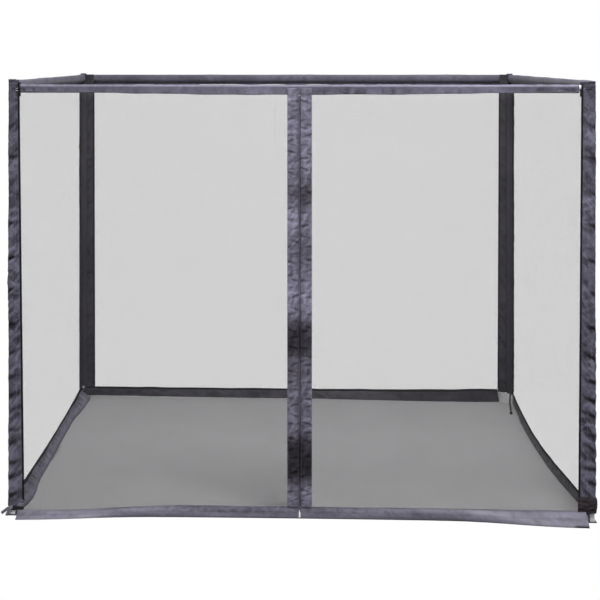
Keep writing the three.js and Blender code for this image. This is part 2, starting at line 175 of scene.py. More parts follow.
def fbm(x, y, seed, octaves=3, gain=0.5):
    s, k = 0.0, 1.0
    for o in range(octaves):
        s = s + k * vnoise(x * 2 ** o + 7.3 * o, y * 2 ** o - 3.1 * o, seed + o)
        k *= gain
    return s


def crease(x, y, seed, octaves=2, sharp=1.6, gain=0.5):
    """Folds with narrow crests, 0 to about 1."""
    s, k, total = 0.0, 1.0, 0.0
    for o in range(octaves):
        wx = x * 2 ** o + 0.45 * vnoise(x * 1.3 + 5, y * 1.3, seed + 31 + o)
        wy = y * 2 ** o + 0.45 * vnoise(x * 1.3, y * 1.3 + 9, seed + 57 + o)
        s = s + k * (1 - np.abs(vnoise(wx, wy, seed + o))) ** sharp
        total += k
        k *= gain
    return s / total


def smooth(t):
    t = np.clip(t, 0, 1)
    return t * t * (3 - 2 * t)


def bump(z, centre, width):
    return np.exp(-((z - centre) / width) ** 2)


# ------------------------------------------------------------------ meshes
def mesh_object(name, verts, faces, uv=None, mats=(), face_mat=None, smooth_shade=True, shade=None):
    """verts (n,3), faces (m,4) or (m,3) integer array, uv per vertex (n,2), shade per vertex (n)."""
    me = bpy.data.meshes.new(name)
    verts = np.ascontiguousarray(verts, np.float32)
    faces = np.ascontiguousarray(faces, np.int32)
    k = faces.shape[1]
    me.vertices.add(len(verts))
    me.vertices.foreach_set("co", verts.ravel())
    me.loops.add(faces.size)
    me.loops.foreach_set("vertex_index", faces.ravel())
    me.polygons.add(len(faces))
    me.polygons.foreach_set("loop_start", np.arange(0, faces.size, k, dtype=np.int32))
    if face_mat is not None:
        me.polygons.foreach_set("material_index", np.ascontiguousarray(face_mat, np.int32))
    me.update(calc_edges=True)
    if uv is not None:
        layer = me.uv_layers.new(name="UVMap")
        layer.data.foreach_set("uv", np.ascontiguousarray(uv[faces.ravel()], np.float32).ravel())
    at = me.attributes.new("shade", "FLOAT", "POINT")
    sh = np.ones(len(verts)) if shade is None else np.asarray(shade).ravel()
    if len(sh) * 2 == len(verts):
        sh = np.concatenate([sh, sh])
    at.data.foreach_set("value", np.ascontiguousarray(sh, np.float32))
    me.validate()
    me.polygons.foreach_set("use_smooth", np.full(len(me.polygons), smooth_shade))
    for m in mats:
        me.materials.append(m)
    obj = bpy.data.objects.new(name, me)
    bpy.context.scene.collection.objects.link(obj)
    return obj


def grid_normals(P):
    du = np.gradient(P, axis=0)
    dv = np.gradient(P, axis=1)
    n = np.cross(du, dv)
    return n / np.maximum(np.linalg.norm(n, axis=2, keepdims=True), 1e-12)


def sheet_arrays(P, t, outward, wrap=False):
    """Closed thin solid over a grid. The first skin faces the given outward side."""
    nu, nv = P.shape[:2]
    N = grid_normals(P)
    if wrap:
        Q = np.concatenate([P[-2:-1], P, P[1:2]], 0)
        N = grid_normals(Q)[1:-1]
    sign = np.sign((N * outward).sum())
    flip = sign < 0
    N = N * (sign or 1)
    a = P + N * (t / 2)
    b = P - N * (t / 2)
    V = np.concatenate([a.reshape(-1, 3), b.reshape(-1, 3)])
    n = nu * nv
    idx = np.arange(n).reshape(nu, nv)
    q = np.stack([idx[:-1, :-1], idx[1:, :-1], idx[1:, 1:], idx[:-1, 1:]], -1).reshape(-1, 4)
    outer = q[:, ::-1] if flip else q
    inner = (q if flip else q[:, ::-1]) + n
    rims = []

    def rim(line):
        s = np.stack([line[:-1], line[1:], line[1:] + n, line[:-1] + n], -1)
        rims.append(s if flip else s[:, ::-1])

    rim(idx[:, 0])
    rim(idx[::-1, -1])
    rim(idx[-1, :])
    rim(idx[0, ::-1])
    rims = np.concatenate(rims)
    F = np.concatenate([outer, inner, rims])
    mat = np.concatenate([np.zeros(len(outer), int), np.ones(len(inner), int), np.zeros(len(rims), int)])
    return V, F, mat


def sheet(name, P, t, outward, mats, uv=None, shade=None):
    """P (nu,nv,3) grid of the sheet's middle; outward is a rough direction of its first skin."""
    V, F, mat = sheet_arrays(P, t, np.asarray(outward, float))
    if uv is None:
        du = np.concatenate([[0], np.cumsum(np.linalg.norm(np.diff(P[:, P.shape[1] // 2], axis=0), axis=1))])
        dv = np.concatenate([[0], np.cumsum(np.linalg.norm(np.diff(P[P.shape[0] // 2], axis=0), axis=1))])
        uu, vv = np.meshgrid(du, dv, indexing="ij")
        uv = np.stack([uu, vv], -1).reshape(-1, 2)
    else:
        uv = uv.reshape(-1, 2)
    uv2 = np.concatenate([uv, uv])
    mats = list(mats)
    if len(mats) == 1:
        mat = np.zeros_like(mat)
    return mesh_object(name, V, F, uv2, mats, mat, shade=shade)


def blur(d, r0, r1):
    """Box blur over a grid, applied twice in each direction."""
    for axis, r in ((0, r0), (1, r1)):
        if r < 1:
            continue
        for _ in range(2):
            q = np.moveaxis(d, axis, 0)
            pad = np.concatenate([np.repeat(q[:1], r, 0), q, np.repeat(q[-1:], r, 0)])
            c = np.cumsum(np.concatenate([np.zeros_like(pad[:1]), pad]), 0)
            q = (c[2 * r + 1:] - c[:-2 * r - 1]) / (2 * r + 1)
            d = np.moveaxis(q, 0, axis)
    return d


def hollow_shade(d, r0, r1, k=0.34, lo=-2.4, hi=1.5):
    """Painted shade in the cloth's hollows and painted highlight on its crests."""
    h = d - blur(d, r0, r1)
    h = h / max(float(h.std()), 1e-9)
    return np.exp(k * np.clip(h, lo, hi))


def join_arrays(parts):
    """[(V, F)] with quad faces -> one."""
    vs, fs, o = [], [], 0
    for v, f in parts:
        vs.append(v)
        fs.append(f + o)
        o += len(v)
    return np.concatenate(vs), np.concatenate(fs)


def dashes(name, P, D, N, length, width, height, mat):
    """Stitches: small rounded bars at points P, along D, standing on normals N."""
    S = np.cross(D, N)
    ring = np.array([[-1.0, 0.0], [-0.7, 0.75], [0.0, 1.0], [0.7, 0.75], [1.0, 0.0]])
    rows = [(-0.5, 0.25), (-0.3, 1.0), (0.3, 1.0), (0.5, 0.25)]
    V = []
    for along, k in rows:
        for a, b in ring:
            V.append(P + D * (along * length) + S * (a * width / 2 * k) + N * (b * height * k))
        V.append(P + D * (along * length) - N * (height * 0.6))
    V = np.stack(V, 1)                         # (m, 24, 3)
    m = len(P)
    f = []
    for r in range(3):
        for k in range(6):
            a, b = r * 6 + k, r * 6 + (k + 1) % 6
            f.append([a, b, b + 6, a + 6])
    f.append([0, 5, 4, 3]); f.append([0, 3, 2, 1])
    f.append([18, 21, 22, 23]); f.append([18, 19, 20, 21])
    f = np.array(f)
    F = (f[None] + (np.arange(m) * 24)[:, None, None]).reshape(-1, 4)
    V = V.reshape(-1, 3)
    # outward check on the first bar
    v0 = V[:24]
    ce = v0.mean(0)
    a, b, c = v0[f[0][0]], v0[f[0][1]], v0[f[0][2]]
    if np.dot(np.cross(b - a, c - a), a - ce) < 0:
        F = F[:, ::-1]
    return mesh_object(name, V, F, None, [mat])


def stitches_on(P, u_index=None, v_index=None, step=0.006, inset_normal=0.0009, outward=(0, 0, 1)):
    """Points, directions and normals along one grid line of a sheet."""
    N = grid_normals(P)
    if np.sign((N * np.asarray(outward, float)).sum()) < 0:
        N = -N
    line = P[u_index] if u_index is not None else P[:, v_index]
    nl = N[u_index] if u_index is not None else N[:, v_index]
    d = np.concatenate([[0], np.cumsum(np.linalg.norm(np.diff(line, axis=0), axis=1))])
    s = np.arange(step, d[-1] - step, step)
    pts = np.stack([np.interp(s, d, line[:, k]) for k in range(3)], -1)
    nn = np.stack([np.interp(s, d, nl[:, k]) for k in range(3)], -1)
    nn /= np.linalg.norm(nn, axis=1, keepdims=True)
    e = 0.001
    q = np.stack([np.interp(s + e, d, line[:, k]) for k in range(3)], -1)
    D = q - pts
    D /= np.maximum(np.linalg.norm(D, axis=1, keepdims=True), 1e-9)
    return pts + nn * inset_normal, D, nn


STITCH = {}


def add_stitches(body, pts):
    STITCH.setdefault(body, []).append(pts)


# ------------------------------------------------------------------ materials
def new_material(name):
    m = bpy.data.materials.new(name)
    m.use_nodes = True
    nt = m.node_tree
    nt.nodes.clear()
    out = nt.nodes.new("ShaderNodeOutputMaterial")
    bsdf = nt.nodes.new("ShaderNodeBsdfPrincipled")
    nt.links.new(bsdf.outputs[0], out.inputs[0])
    return m, nt, bsdf, out


def math_node(nt, op, a, b=None, clamp=False):
    n = nt.nodes.new("ShaderNodeMath")
    n.operation = op
    n.use_clamp = clamp
    for i, v in enumerate((a, b)):
        if v is None:
            continue
        if isinstance(v, (int, float)):
            n.inputs[i].default_value = v
        else:
            nt.links.new(v, n.inputs[i])
    return n.outputs[0]


def ramp(nt, fac, stops):
    r = nt.nodes.new("ShaderNodeValToRGB")
    el = r.color_ramp.elements
    while len(el) < len(stops):
        el.new(0.5)
    for e, (p, c) in zip(el, stops):
        e.position = p
        e.color = (*c, 1) if len(c) == 3 else c
    nt.links.new(fac, r.inputs[0])
    return r.outputs[0]


def noise_node(nt, coord, scale, detail=3.0, rough=0.5, distort=0.0):
    n = nt.nodes.new("ShaderNodeTexNoise")
    n.inputs["Scale"].default_value = scale
    n.inputs["Detail"].default_value = detail
    n.inputs["Roughness"].default_value = rough
    n.inputs["Distortion"].default_value = distort
    nt.links.new(coord, n.inputs["Vector"])
    return n.outputs[0]


def weave_height(nt, u, v, pitch_u, pitch_v):
    """Plain weave: over and under threads, 0 to 1."""
    a = math_node(nt, "SINE", math_node(nt, "MULTIPLY", u, 2 * math.pi / pitch_u))
    b = math_node(nt, "SINE", math_node(nt, "MULTIPLY", v, 2 * math.pi / pitch_v))
    return math_node(nt, "ADD", math_node(nt, "MULTIPLY", math_node(nt, "MULTIPLY", a, b), 0.5), 0.5)


def cloth_material(name, base, rough=0.5, sheen=0.05, pitch=0.0013, shade=1.0, spec=0.28, wrinkle=0.35, vary=0.2, mottle=0.14, shade_gain=1.0):
    m, nt, bsdf, out = new_material(name)
    tc = nt.nodes.new("ShaderNodeTexCoord")
    uv = nt.nodes.new("ShaderNodeUVMap")
    uv.uv_map = "UVMap"
    sep = nt.nodes.new("ShaderNodeSeparateXYZ")
    nt.links.new(uv.outputs[0], sep.inputs[0])
    weave = weave_height(nt, sep.outputs[0], sep.outputs[1], pitch * 2, pitch * 2)
    patch = noise_node(nt, tc.outputs["Object"], 3.2, 3.0, 0.55)
    crinkle = noise_node(nt, tc.outputs["Object"], 34.0, 4.0, 0.62, 0.6)
    fine = noise_node(nt, tc.outputs["Object"], 260.0, 2.0, 0.5)
    b = np.array(base) * shade
    lo, hi = tuple(b * (1 - vary)), tuple(np.minimum(b * (1 + vary), 1))
    col = ramp(nt, patch, [(0.30, lo), (0.70, hi)])
    mix = nt.nodes.new("ShaderNodeMix")
    mix.data_type = "RGBA"
    mix.blend_type = "MULTIPLY"
    mix.inputs["Factor"].default_value = 1.0
    thread = ramp(nt, weave, [(0.0, (0.80, 0.80, 0.82)), (1.0, (1.10, 1.10, 1.10))])
    nt.links.new(col, mix.inputs["A"])
    nt.links.new(thread, mix.inputs["B"])
    mix2 = nt.nodes.new("ShaderNodeMix")
    mix2.data_type = "RGBA"
    mix2.blend_type = "MULTIPLY"
    mix2.inputs["Factor"].default_value = 1.0
    cr = ramp(nt, crinkle, [(0.34, (1 - mottle, 1 - mottle, 1 - mottle * 0.93)), (0.64, (1 + mottle, 1 + mottle, 1 + mottle))])
    nt.links.new(mix.outputs["Result"], mix2.inputs["A"])
    nt.links.new(cr, mix2.inputs["B"])
    # per-vertex shade attribute: painted shade and painted highlight that multiply the colour
    painted_shade = nt.nodes.new("ShaderNodeAttribute")
    painted_shade.attribute_name = "shade"
    mix3 = nt.nodes.new("ShaderNodeVectorMath")
    mix3.operation = "MULTIPLY"
    nt.links.new(mix2.outputs["Result"], mix3.inputs[0])
    # painted shade turns a little warmer where it is deep, painted highlight a little cooler
    tint = nt.nodes.new("ShaderNodeCombineXYZ")
    for ch, e_ in enumerate((0.965, 1.0, 1.05)):
        nt.links.new(math_node(nt, "POWER", painted_shade.outputs["Fac"], shade_gain * e_), tint.inputs[ch])
    nt.links.new(tint.outputs[0], mix3.inputs[1])
    nt.links.new(mix3.outputs[0], bsdf.inputs["Base Color"])
    rr = ramp(nt, crinkle, [(0.3, (rough - 0.08,) * 3), (0.7, (rough + 0.10,) * 3)])
    nt.links.new(rr, bsdf.inputs["Roughness"])
    # the specular level drops with the painted shade too
    nt.links.new(math_node(nt, "MULTIPLY", math_node(nt, "MINIMUM", painted_shade.outputs["Fac"], 1.0), spec), bsdf.inputs["Specular IOR Level"])
    bsdf.inputs["Sheen Weight"].default_value = sheen
    bsdf.inputs["Sheen Roughness"].default_value = 0.4
    h = math_node(nt, "ADD", math_node(nt, "MULTIPLY", weave, 0.22),
                  math_node(nt, "ADD", math_node(nt, "MULTIPLY", fine, 0.12), 0.0))
    bp = nt.nodes.new("ShaderNodeBump")
    bp.inputs["Strength"].default_value = 0.5
    bp.inputs["Distance"].default_value = 0.0005
    nt.links.new(h, bp.inputs["Height"])
    bp2 = nt.nodes.new("ShaderNodeBump")
    bp2.inputs["Strength"].default_value = wrinkle
    bp2.inputs["Distance"].default_value = 0.004
    nt.links.new(crinkle, bp2.inputs["Height"])
    nt.links.new(bp.outputs[0], bp2.inputs["Normal"])
    nt.links.new(bp2.outputs[0], bsdf.inputs["Normal"])
    return m


def net_material(name, coverage=0.22, color=(0.03, 0.03, 0.033), pitch=0.0018):
    """Fine knitted mesh: threads on a grid, holes seen through."""
    m, nt, bsdf, out = new_material(name)
    uv = nt.nodes.new("ShaderNodeUVMap")
    uv.uv_map = "UVMap"
    sep = nt.nodes.new("ShaderNodeSeparateXYZ")
    nt.links.new(uv.outputs[0], sep.inputs[0])
    # share of the pitch covered by thread in each direction
    share = 1 - math.sqrt(1 - coverage)
    lines = []
    for o, off in ((0, 0.0), (1, 0.37)):
        f = math_node(nt, "FRACT", math_node(nt, "ADD", math_node(nt, "DIVIDE", sep.outputs[o], pitch), off))
        lines.append(math_node(nt, "LESS_THAN", f, share))
    thread = math_node(nt, "MAXIMUM", lines[0], lines[1])
    # the thin solid has two skins with the same pattern: count the thread once
    geo = nt.nodes.new("ShaderNodeNewGeometry")
    thread = math_node(nt, "MULTIPLY", thread, math_node(nt, "SUBTRACT", 1.0, geo.outputs["Backfacing"]))
    tc = nt.nodes.new("ShaderNodeTexCoord")
    n = noise_node(nt, tc.outputs["Object"], 2.0, 2.0)
    col = ramp(nt, n, [(0.3, tuple(np.array(color) * 0.8)), (0.7, tuple(np.array(color) * 1.25))])
    nt.links.new(col, bsdf.inputs["Base Color"])
    bsdf.inputs["Roughness"].default_value = 0.65
    bsdf.inputs["Specular IOR Level"].default_value = 0.2
    tr = nt.nodes.new("ShaderNodeBsdfTransparent")
    mx = nt.nodes.new("ShaderNodeMixShader")
    nt.links.new(thread, mx.inputs[0])
    nt.links.new(tr.outputs[0], mx.inputs[1])
    nt.links.new(bsdf.outputs[0], mx.inputs[2])
    nt.links.new(mx.outputs[0], out.inputs[0])
    return m


def metal_material(name, base, rough=0.35, metallic=1.0, scratch=True):
    m, nt, bsdf, out = new_material(name)
    tc = nt.nodes.new("ShaderNodeTexCoord")
    a = noise_node(nt, tc.outputs["Object"], 9.0, 4.0)
    b = noise_node(nt, tc.outputs["Object"], 420.0, 3.0)
    b0 = np.array(base)
    col = ramp(nt, a, [(0.3, tuple(b0 * 0.86)), (0.7, tuple(np.minimum(b0 * 1.06, 1)))])
    nt.links.new(col, bsdf.inputs["Base Color"])
    rr = ramp(nt, b, [(0.3, (rough - 0.07,) * 3), (0.7, (rough + 0.12,) * 3)])
    nt.links.new(rr, bsdf.inputs["Roughness"])
    bsdf.inputs["Metallic"].default_value = metallic
    bp = nt.nodes.new("ShaderNodeBump")
    bp.inputs["Strength"].default_value = 0.25
    bp.inputs["Distance"].default_value = 0.0003
    nt.links.new(b, bp.inputs["Height"])
    nt.links.new(bp.outputs[0], bsdf.inputs["Normal"])
    return m


def plastic_material(name, base, rough=0.5):
    m, nt, bsdf, out = new_material(name)
    tc = nt.nodes.new("ShaderNodeTexCoord")
    a = noise_node(nt, tc.outputs["Object"], 14.0, 3.0)
    b = noise_node(nt, tc.outputs["Object"], 900.0, 2.0)
    b0 = np.array(base)
    col = ramp(nt, a, [(0.3, tuple(b0 * 0.8)), (0.7, tuple(b0 * 1.3))])
    nt.links.new(col, bsdf.inputs["Base Color"])
    rr = ramp(nt, a, [(0.3, (rough - 0.06,) * 3), (0.7, (rough + 0.1,) * 3)])
    nt.links.new(rr, bsdf.inputs["Roughness"])
    bp = nt.nodes.new("ShaderNodeBump")
    bp.inputs["Strength"].default_value = 0.3
    bp.inputs["Distance"].default_value = 0.0002
    nt.links.new(b, bp.inputs["Height"])
    nt.links.new(bp.outputs[0], bsdf.inputs["Normal"])
    return m


def webbing_material(name, base, pitch=0.0022):
    m, nt, bsdf, out = new_material(name)
    uv = nt.nodes.new("ShaderNodeUVMap")
    uv.uv_map = "UVMap"
    sep = nt.nodes.new("ShaderNodeSeparateXYZ")
    nt.links.new(uv.outputs[0], sep.inputs[0])
    w = weave_height(nt, sep.outputs[0], sep.outputs[1], pitch, pitch * 1.6)
    b0 = np.array(base)
    col = ramp(nt, w, [(0.0, tuple(b0 * 0.6)), (1.0, tuple(b0 * 1.5))])
    nt.links.new(col, bsdf.inputs["Base Color"])
    bsdf.inputs["Roughness"].default_value = 0.65
    bsdf.inputs["Specular IOR Level"].default_value = 0.15
    bsdf.inputs["Sheen Weight"].default_value = 0.02
    bp = nt.nodes.new("ShaderNodeBump")
    bp.inputs["Strength"].default_value = 0.6
    bp.inputs["Distance"].default_value = 0.0006
    nt.links.new(w, bp.inputs["Height"])
    nt.links.new(bp.outputs[0], bsdf.inputs["Normal"])
    return m


def srgb(r, g, b):
    f = lambda c: (c / 255 / 12.92) if c <= 10 else ((c / 255 + 0.055) / 1.055) ** 2.4
    return (f(r), f(g), f(b))


SLATE = (0.118, 0.112, 0.150)
# one slate oxford drawn as lit and shaded copies: the band is the plain copy, the upright sleeves are painted darker as
# shade, and the hems and zip strips are paler as painted light; the inside copies are painted far darker as shade
# inside the house, with the left hem's inside a lit copy and the right hem's inside a shaded one
CLOTH = cloth_material("oxford_outside", SLATE, shade=0.78, spec=0.18)
CLOTH_POST = cloth_material("oxford_sleeve", SLATE, shade=0.56, spec=0.2, wrinkle=0.7, mottle=0.34)
CLOTH_HEM = cloth_material("oxford_hem", (0.122, 0.117, 0.148), shade=0.96, spec=0.18, mottle=0.08)
CLOTH_STRIP = cloth_material("oxford_strip", SLATE, shade=1.0, spec=0.2, wrinkle=0.5, mottle=0.22)
CLOTH_IN_SHADED = cloth_material("oxford_inside_shaded", (0.030, 0.027, 0.033), rough=0.6, sheen=0.02, spec=0.2, wrinkle=0.2, mottle=0.08, shade_gain=0.35)
CLOTH_HEM_IN_LIT = cloth_material("oxford_hem_inside_lit", (0.088, 0.083, 0.108), rough=0.55, sheen=0.04, spec=0.25, shade_gain=0.8)
CLOTH_HEM_IN_SHADED = cloth_material("oxford_hem_inside_shaded", (0.046, 0.044, 0.050), rough=0.55, sheen=0.04, spec=0.2, shade_gain=0.8)
# near-black binding cloth; its darkness also stands for the painted shadow along the edges it lines
BIND_AND_SHADOW = cloth_material("edge_binding_and_shadow", (0.008, 0.008, 0.009), rough=0.7, sheen=0.0, spec=0.1)
NET = net_material("netting")
WEB = webbing_material("black_webbing", (0.012, 0.012, 0.014))
FLOOR = cloth_material("groundsheet", (0.232, 0.232, 0.232), rough=0.62, sheen=0.0, pitch=0.0028, spec=0.2, wrinkle=0.05, vary=0.03, mottle=0.03)
STEEL = metal_material("painted_steel", (0.50, 0.51, 0.53), 0.42, 0.1)
METAL = metal_material("gunmetal", (0.20, 0.20, 0.22), 0.32, 1.0)
PLAST = plastic_material("black_nylon", (0.016, 0.016, 0.018))
ZIPT = cloth_material("zip_tape", (0.074, 0.070, 0.094), rough=0.6, sheen=0.0, spec=0.15, pitch=0.0006, mottle=0.1)
TEETH = cloth_material("zip_teeth", (0.066, 0.063, 0.082), rough=0.45, sheen=0.0, spec=0.25, pitch=0.004, wrinkle=0.1, mottle=0.12)
THREAD = plastic_material("thread", (0.15, 0.145, 0.185), 0.6)


def done(obj, body, slot, *replaced):
    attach(obj, body)
    if replaced:
        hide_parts(*replaced)
    return obj


# ------------------------------------------------------------------ corner sleeves
def sleeve(key, sx, sy):
    w0, w1, wz0, wz1 = WING[key]
    seed = {"fl": 11, "fr": 23, "rl": 37, "rr": 51}[key]
    r = 0.007
    nz = 380
    puff = {"fl": 0.012, "fr": 0.004, "rl": 0.024, "rr": 0.022}[key]
    top = TOP + puff                                      # the cap stands a little proud of the joint
    z = np.linspace(SLEEVE_Z0, top - 0.002, nz)
    a = np.linspace(-1, 1, 57)
    # denser round the corner
    a = np.sign(a) * np.abs(a) ** 1.15
    A, Z = np.meshgrid(a, z, indexing="ij")
    w = wing_at(key, Z)
    wx_wall = "front" if sy < 0 else "rear"
    wy_wall = "left" if sx < 0 else "right"
    rise = {"front": 0.020, "rear": 0.006, "left": 0.006, "right": 0.006}
    zcut = np.where(A < 0, BAND_Z0[wx_wall] + rise[wx_wall], BAND_Z0[wy_wall] + rise[wy_wall])
    if sy < 0:
        zcut = np.where(A < 0, 9.0, zcut)                 # the front wings run on up to the cap
    zt = smooth((Z - (zcut - 0.004)) / 0.01)              # beside the side bands the wings stop at the channel
    wr = w * (1 - zt) + 0.037 * zt
    S = A * wr
    # bottom edge rises away from the channel, over the hem
    lift = smooth((np.abs(S) - 0.036) / 0.02) * (HEM_Z1 + 0.004 - SLEEVE_Z0)
    if sy > 0:
        lift = lift * (1 - 0.0075 / (HEM_Z1 + 0.004 - SLEEVE_Z0))
    if key == "rr":
        lift = np.where(A < 0, 0.0, lift)                 # here the hem stops short of the sleeve
    f = (Z - SLEEVE_Z0) / (top - SLEEVE_Z0)
    Z = Z + lift * (1 - f) ** 6
    inset = 0.0006
    E = EDGE - inset
    straight = np.clip(np.abs(S) - r, 0, None)
    phi = np.radians(45) - np.clip(S / r, -1, 1) * np.radians(45)
    cx, cy = E - r, E - r
    px = cx + r * np.cos(phi) - np.where(S < -r, straight, 0)
    py = cy + r * np.sin(phi) - np.where(S > r, straight, 0)
    nx, ny = np.cos(phi), np.sin(phi)
    # diagonal folds: on the front face they rise towards the house's middle
    s_ = np.where(S < 0, -S, S)
    dirn = 1.0
    along = (s_ * 0.62 + Z * dirn * 0.78)
    across = (-s_ * 0.78 * 1.0 + Z * 0.62)
    side_m = smooth((S + 0.006) / 0.012)                  # 0 on the front or rear face, 1 on the side face
    c1 = crease(across / 0.040, along / 0.150, seed, 2, 2.0) * (1 - side_m) + crease(across / 0.046 + 9, along / 0.130, seed + 31, 2, 2.0) * side_m
    c2 = crease(across / 0.019 + 3, along / 0.060, seed + 5, 2, 1.6) * (1 - side_m) + crease(across / 0.021 + 6, along / 0.070, seed + 35, 2, 1.6) * side_m
    hz = crease(Z / 0.055 + 0.4 * vnoise(s_ / 0.05, Z / 0.2, seed + 8), s_ / 0.16, seed + 9, 1, 2.2) * (1 - side_m)
    hz = hz + crease(Z / 0.063 + 0.4 * vnoise(s_ / 0.05, Z / 0.2, seed + 38) + 4, s_ / 0.16, seed + 39, 1, 2.2) * side_m
    low = fbm(Z / 0.30, s_ / 0.15, seed + 13, 2)
    mod = 0.55 + 0.45 * smooth(0.5 + fbm(Z / 0.42, S / 0.3, seed + 17, 2))
    d = (0.0042 * c1 + 0.0018 * c2 + 0.0022 * hz) * mod - 0.0012 + 0.0016 * low
    # gathers where the sleeve is tied round the leg: short hollows that climb inwards, painted dark as shade
    pin = np.zeros_like(Z)
    zk, n_pin = SLEEVE_Z0 + 0.05, 0
    while zk < TOP - 0.12:
        low_k = 1 - smooth((zk - 0.55) / 0.4)
        reach = (0.034 + 0.012 * math.sin(n_pin * 2.1)) * (1 + 0.9 * low_k)
        line = zk + (0.42 + 0.25 * math.sin(n_pin * 1.3)) * s_
        face = (1 - side_m) if n_pin % 2 == 0 else side_m
        pin = pin + face * (0.75 + 0.25 * math.sin(n_pin * 2.9)) * np.exp(-((Z - line) / (0.0085 + 0.004 * low_k)) ** 2) * (1 - smooth(s_ / (reach * 1.6)))
        zk += (0.084 + 0.012 * math.sin(n_pin * 1.7)) * (1 - 0.50 * low_k)
        n_pin += 1
    pin = np.clip(pin, 0, 1)
    # nearer the leg the cloth can only stand outwards
    free = smooth((np.abs(S) - 0.034) / 0.012)
    dmin = -0.0004 * (1 - free) - 0.0028 * free
    d = np.maximum(d, dmin)
    edge = smooth((wr - np.abs(S)) / 0.006)
    d = d * (0.35 + 0.65 * edge)
    d = d * (1 - 0.75 * smooth((Z - (top - 0.03)) / 0.02))
    d = d * (1 - pin) + np.minimum(d, 0.0002) * pin
    # painted shade: darker in the hollows, in the gathers and in two level lines under the cap, with painted highlight
    # on the crests; the front right sleeve is painted darker overall so it evens with the front left; random tone on
    # top
    top_fold_shade = bump(Z, top - 0.012, 0.004) + 0.8 * bump(Z, top - 0.030, 0.0035)
    shade = (0.84 if key == "fr" else 0.95) * hollow_shade(d, 5, 9, 0.40, hi=0.8) * np.exp(-1.8 * pin) * np.exp(-0.7 * top_fold_shade) * np.exp(0.16 * np.clip(fbm(Z / 0.16, S / 0.09, seed + 91, 2), -1.5, 1.5))
    X, Y = px + nx * d, py + ny * d
    P = np.stack([X * sx, Y * sy, Z], -1)
    V, F, mat = sheet_arrays(P, 0.0011, np.stack([nx * sx, ny * sy, nx * 0], -1))
    uv = np.stack([S, Z], -1).reshape(-1, 2)
    outer = mesh_object("corner_sleeve_cloth_" + key, V, F, np.concatenate([uv, uv]), [CLOTH_POST, CLOTH_IN_SHADED], mat, shade=shade)

    # inner wall of the channel
    k = 0.0375
    zi = np.linspace(SLEEVE_Z0 + 0.004, BAND_Z0[wx_wall] - 0.004, 340)
    b = np.linspace(-1, 1, 23)
    Bq, Zi = np.meshgrid(b, zi, indexing="ij")
    si = Bq * k
    ri = 0.008
    st = np.clip(np.abs(si) - ri, 0, None)
    ph = np.radians(45) + np.clip(si / ri, -1, 1) * np.radians(45)
    ox, oy = E - k, E - k
    # path: from the X wall inwards, round, to the Y wall
    qx = ox + ri - ri * np.cos(ph) + np.where(si > ri, st, 0)
    qy = oy + ri - ri * np.sin(ph) + np.where(si < -ri, st, 0)
    mx_, my_ = -np.cos(ph), -np.sin(ph)
    dd = 0.0030 * crease(Zi / 0.07, si / 0.10, seed + 71, 2, 2.0) + 0.0012 * fbm(Zi / 0.2, si / 0.1, seed + 73, 2)
    lim = smooth((k - np.abs(si)) / 0.008)
    dd = np.clip(dd, -0.0002, 0.006) * lim
    Pi = np.stack([(qx + mx_ * dd) * sx, (qy + my_ * dd) * sy, Zi], -1)
    V2, F2, m2 = sheet_arrays(Pi, 0.0010, np.stack([mx_ * sx, my_ * sy, mx_ * 0], -1))
    uv2 = np.stack([si, Zi], -1).reshape(-1, 2)
    # painted light and shade on the channel's inner wall: a paler band at about 0.72 of the height with random tone,
    # and darker towards both edges of the channel
    tone = 0.85 + 0.45 * np.exp(-((Zi / TOP - 0.72) / 0.16) ** 2) + 0.12 * fbm(Zi / 0.35, si / 0.2, seed + 77, 2)
    inner = mesh_object("corner_sleeve_lining_" + key, V2, F2, np.concatenate([uv2, uv2]), [CLOTH_IN_SHADED], shade=tone * (1 - 0.35 * smooth((np.abs(si) - 0.030) / 0.008)))

    # cap over the joint
    n = 17
    g = np.linspace(-1, 1, n)
    U, W_ = np.meshgrid(g, g, indexing="ij")
    h = 0.0192
    rim = np.maximum(np.abs(U), np.abs(W_))
    capz = top - 0.0006 - 0.006 * smooth((rim - 0.78) / 0.22) ** 1.5 + 0.0012 * vnoise(U * 2, W_ * 2, seed + 3)
    cpx = (C + h * U) * sx
    cpy = (C + h * W_) * sy
    Pc = np.stack([cpx, cpy, capz], -1)
    cap = sheet("corner_sleeve_cap_" + key, Pc, 0.0011, (0, 0, 1), [CLOTH_POST, CLOTH_IN_SHADED])

    # near-black binding down each wing's inner edge, which also stands for the shadow along that edge
    parts = []
    for wall in (0, 1):
        zb = np.linspace(wz0 + 0.004, top - 0.016 if (sy < 0 and wall == 0) else wz1, 300)
        ub = np.linspace(0, 1, 4)
        Ub, Zb = np.meshgrid(ub, zb, indexing="ij")
        sb = wing_at(key, Zb) + 0.0016 - Ub * 0.0098
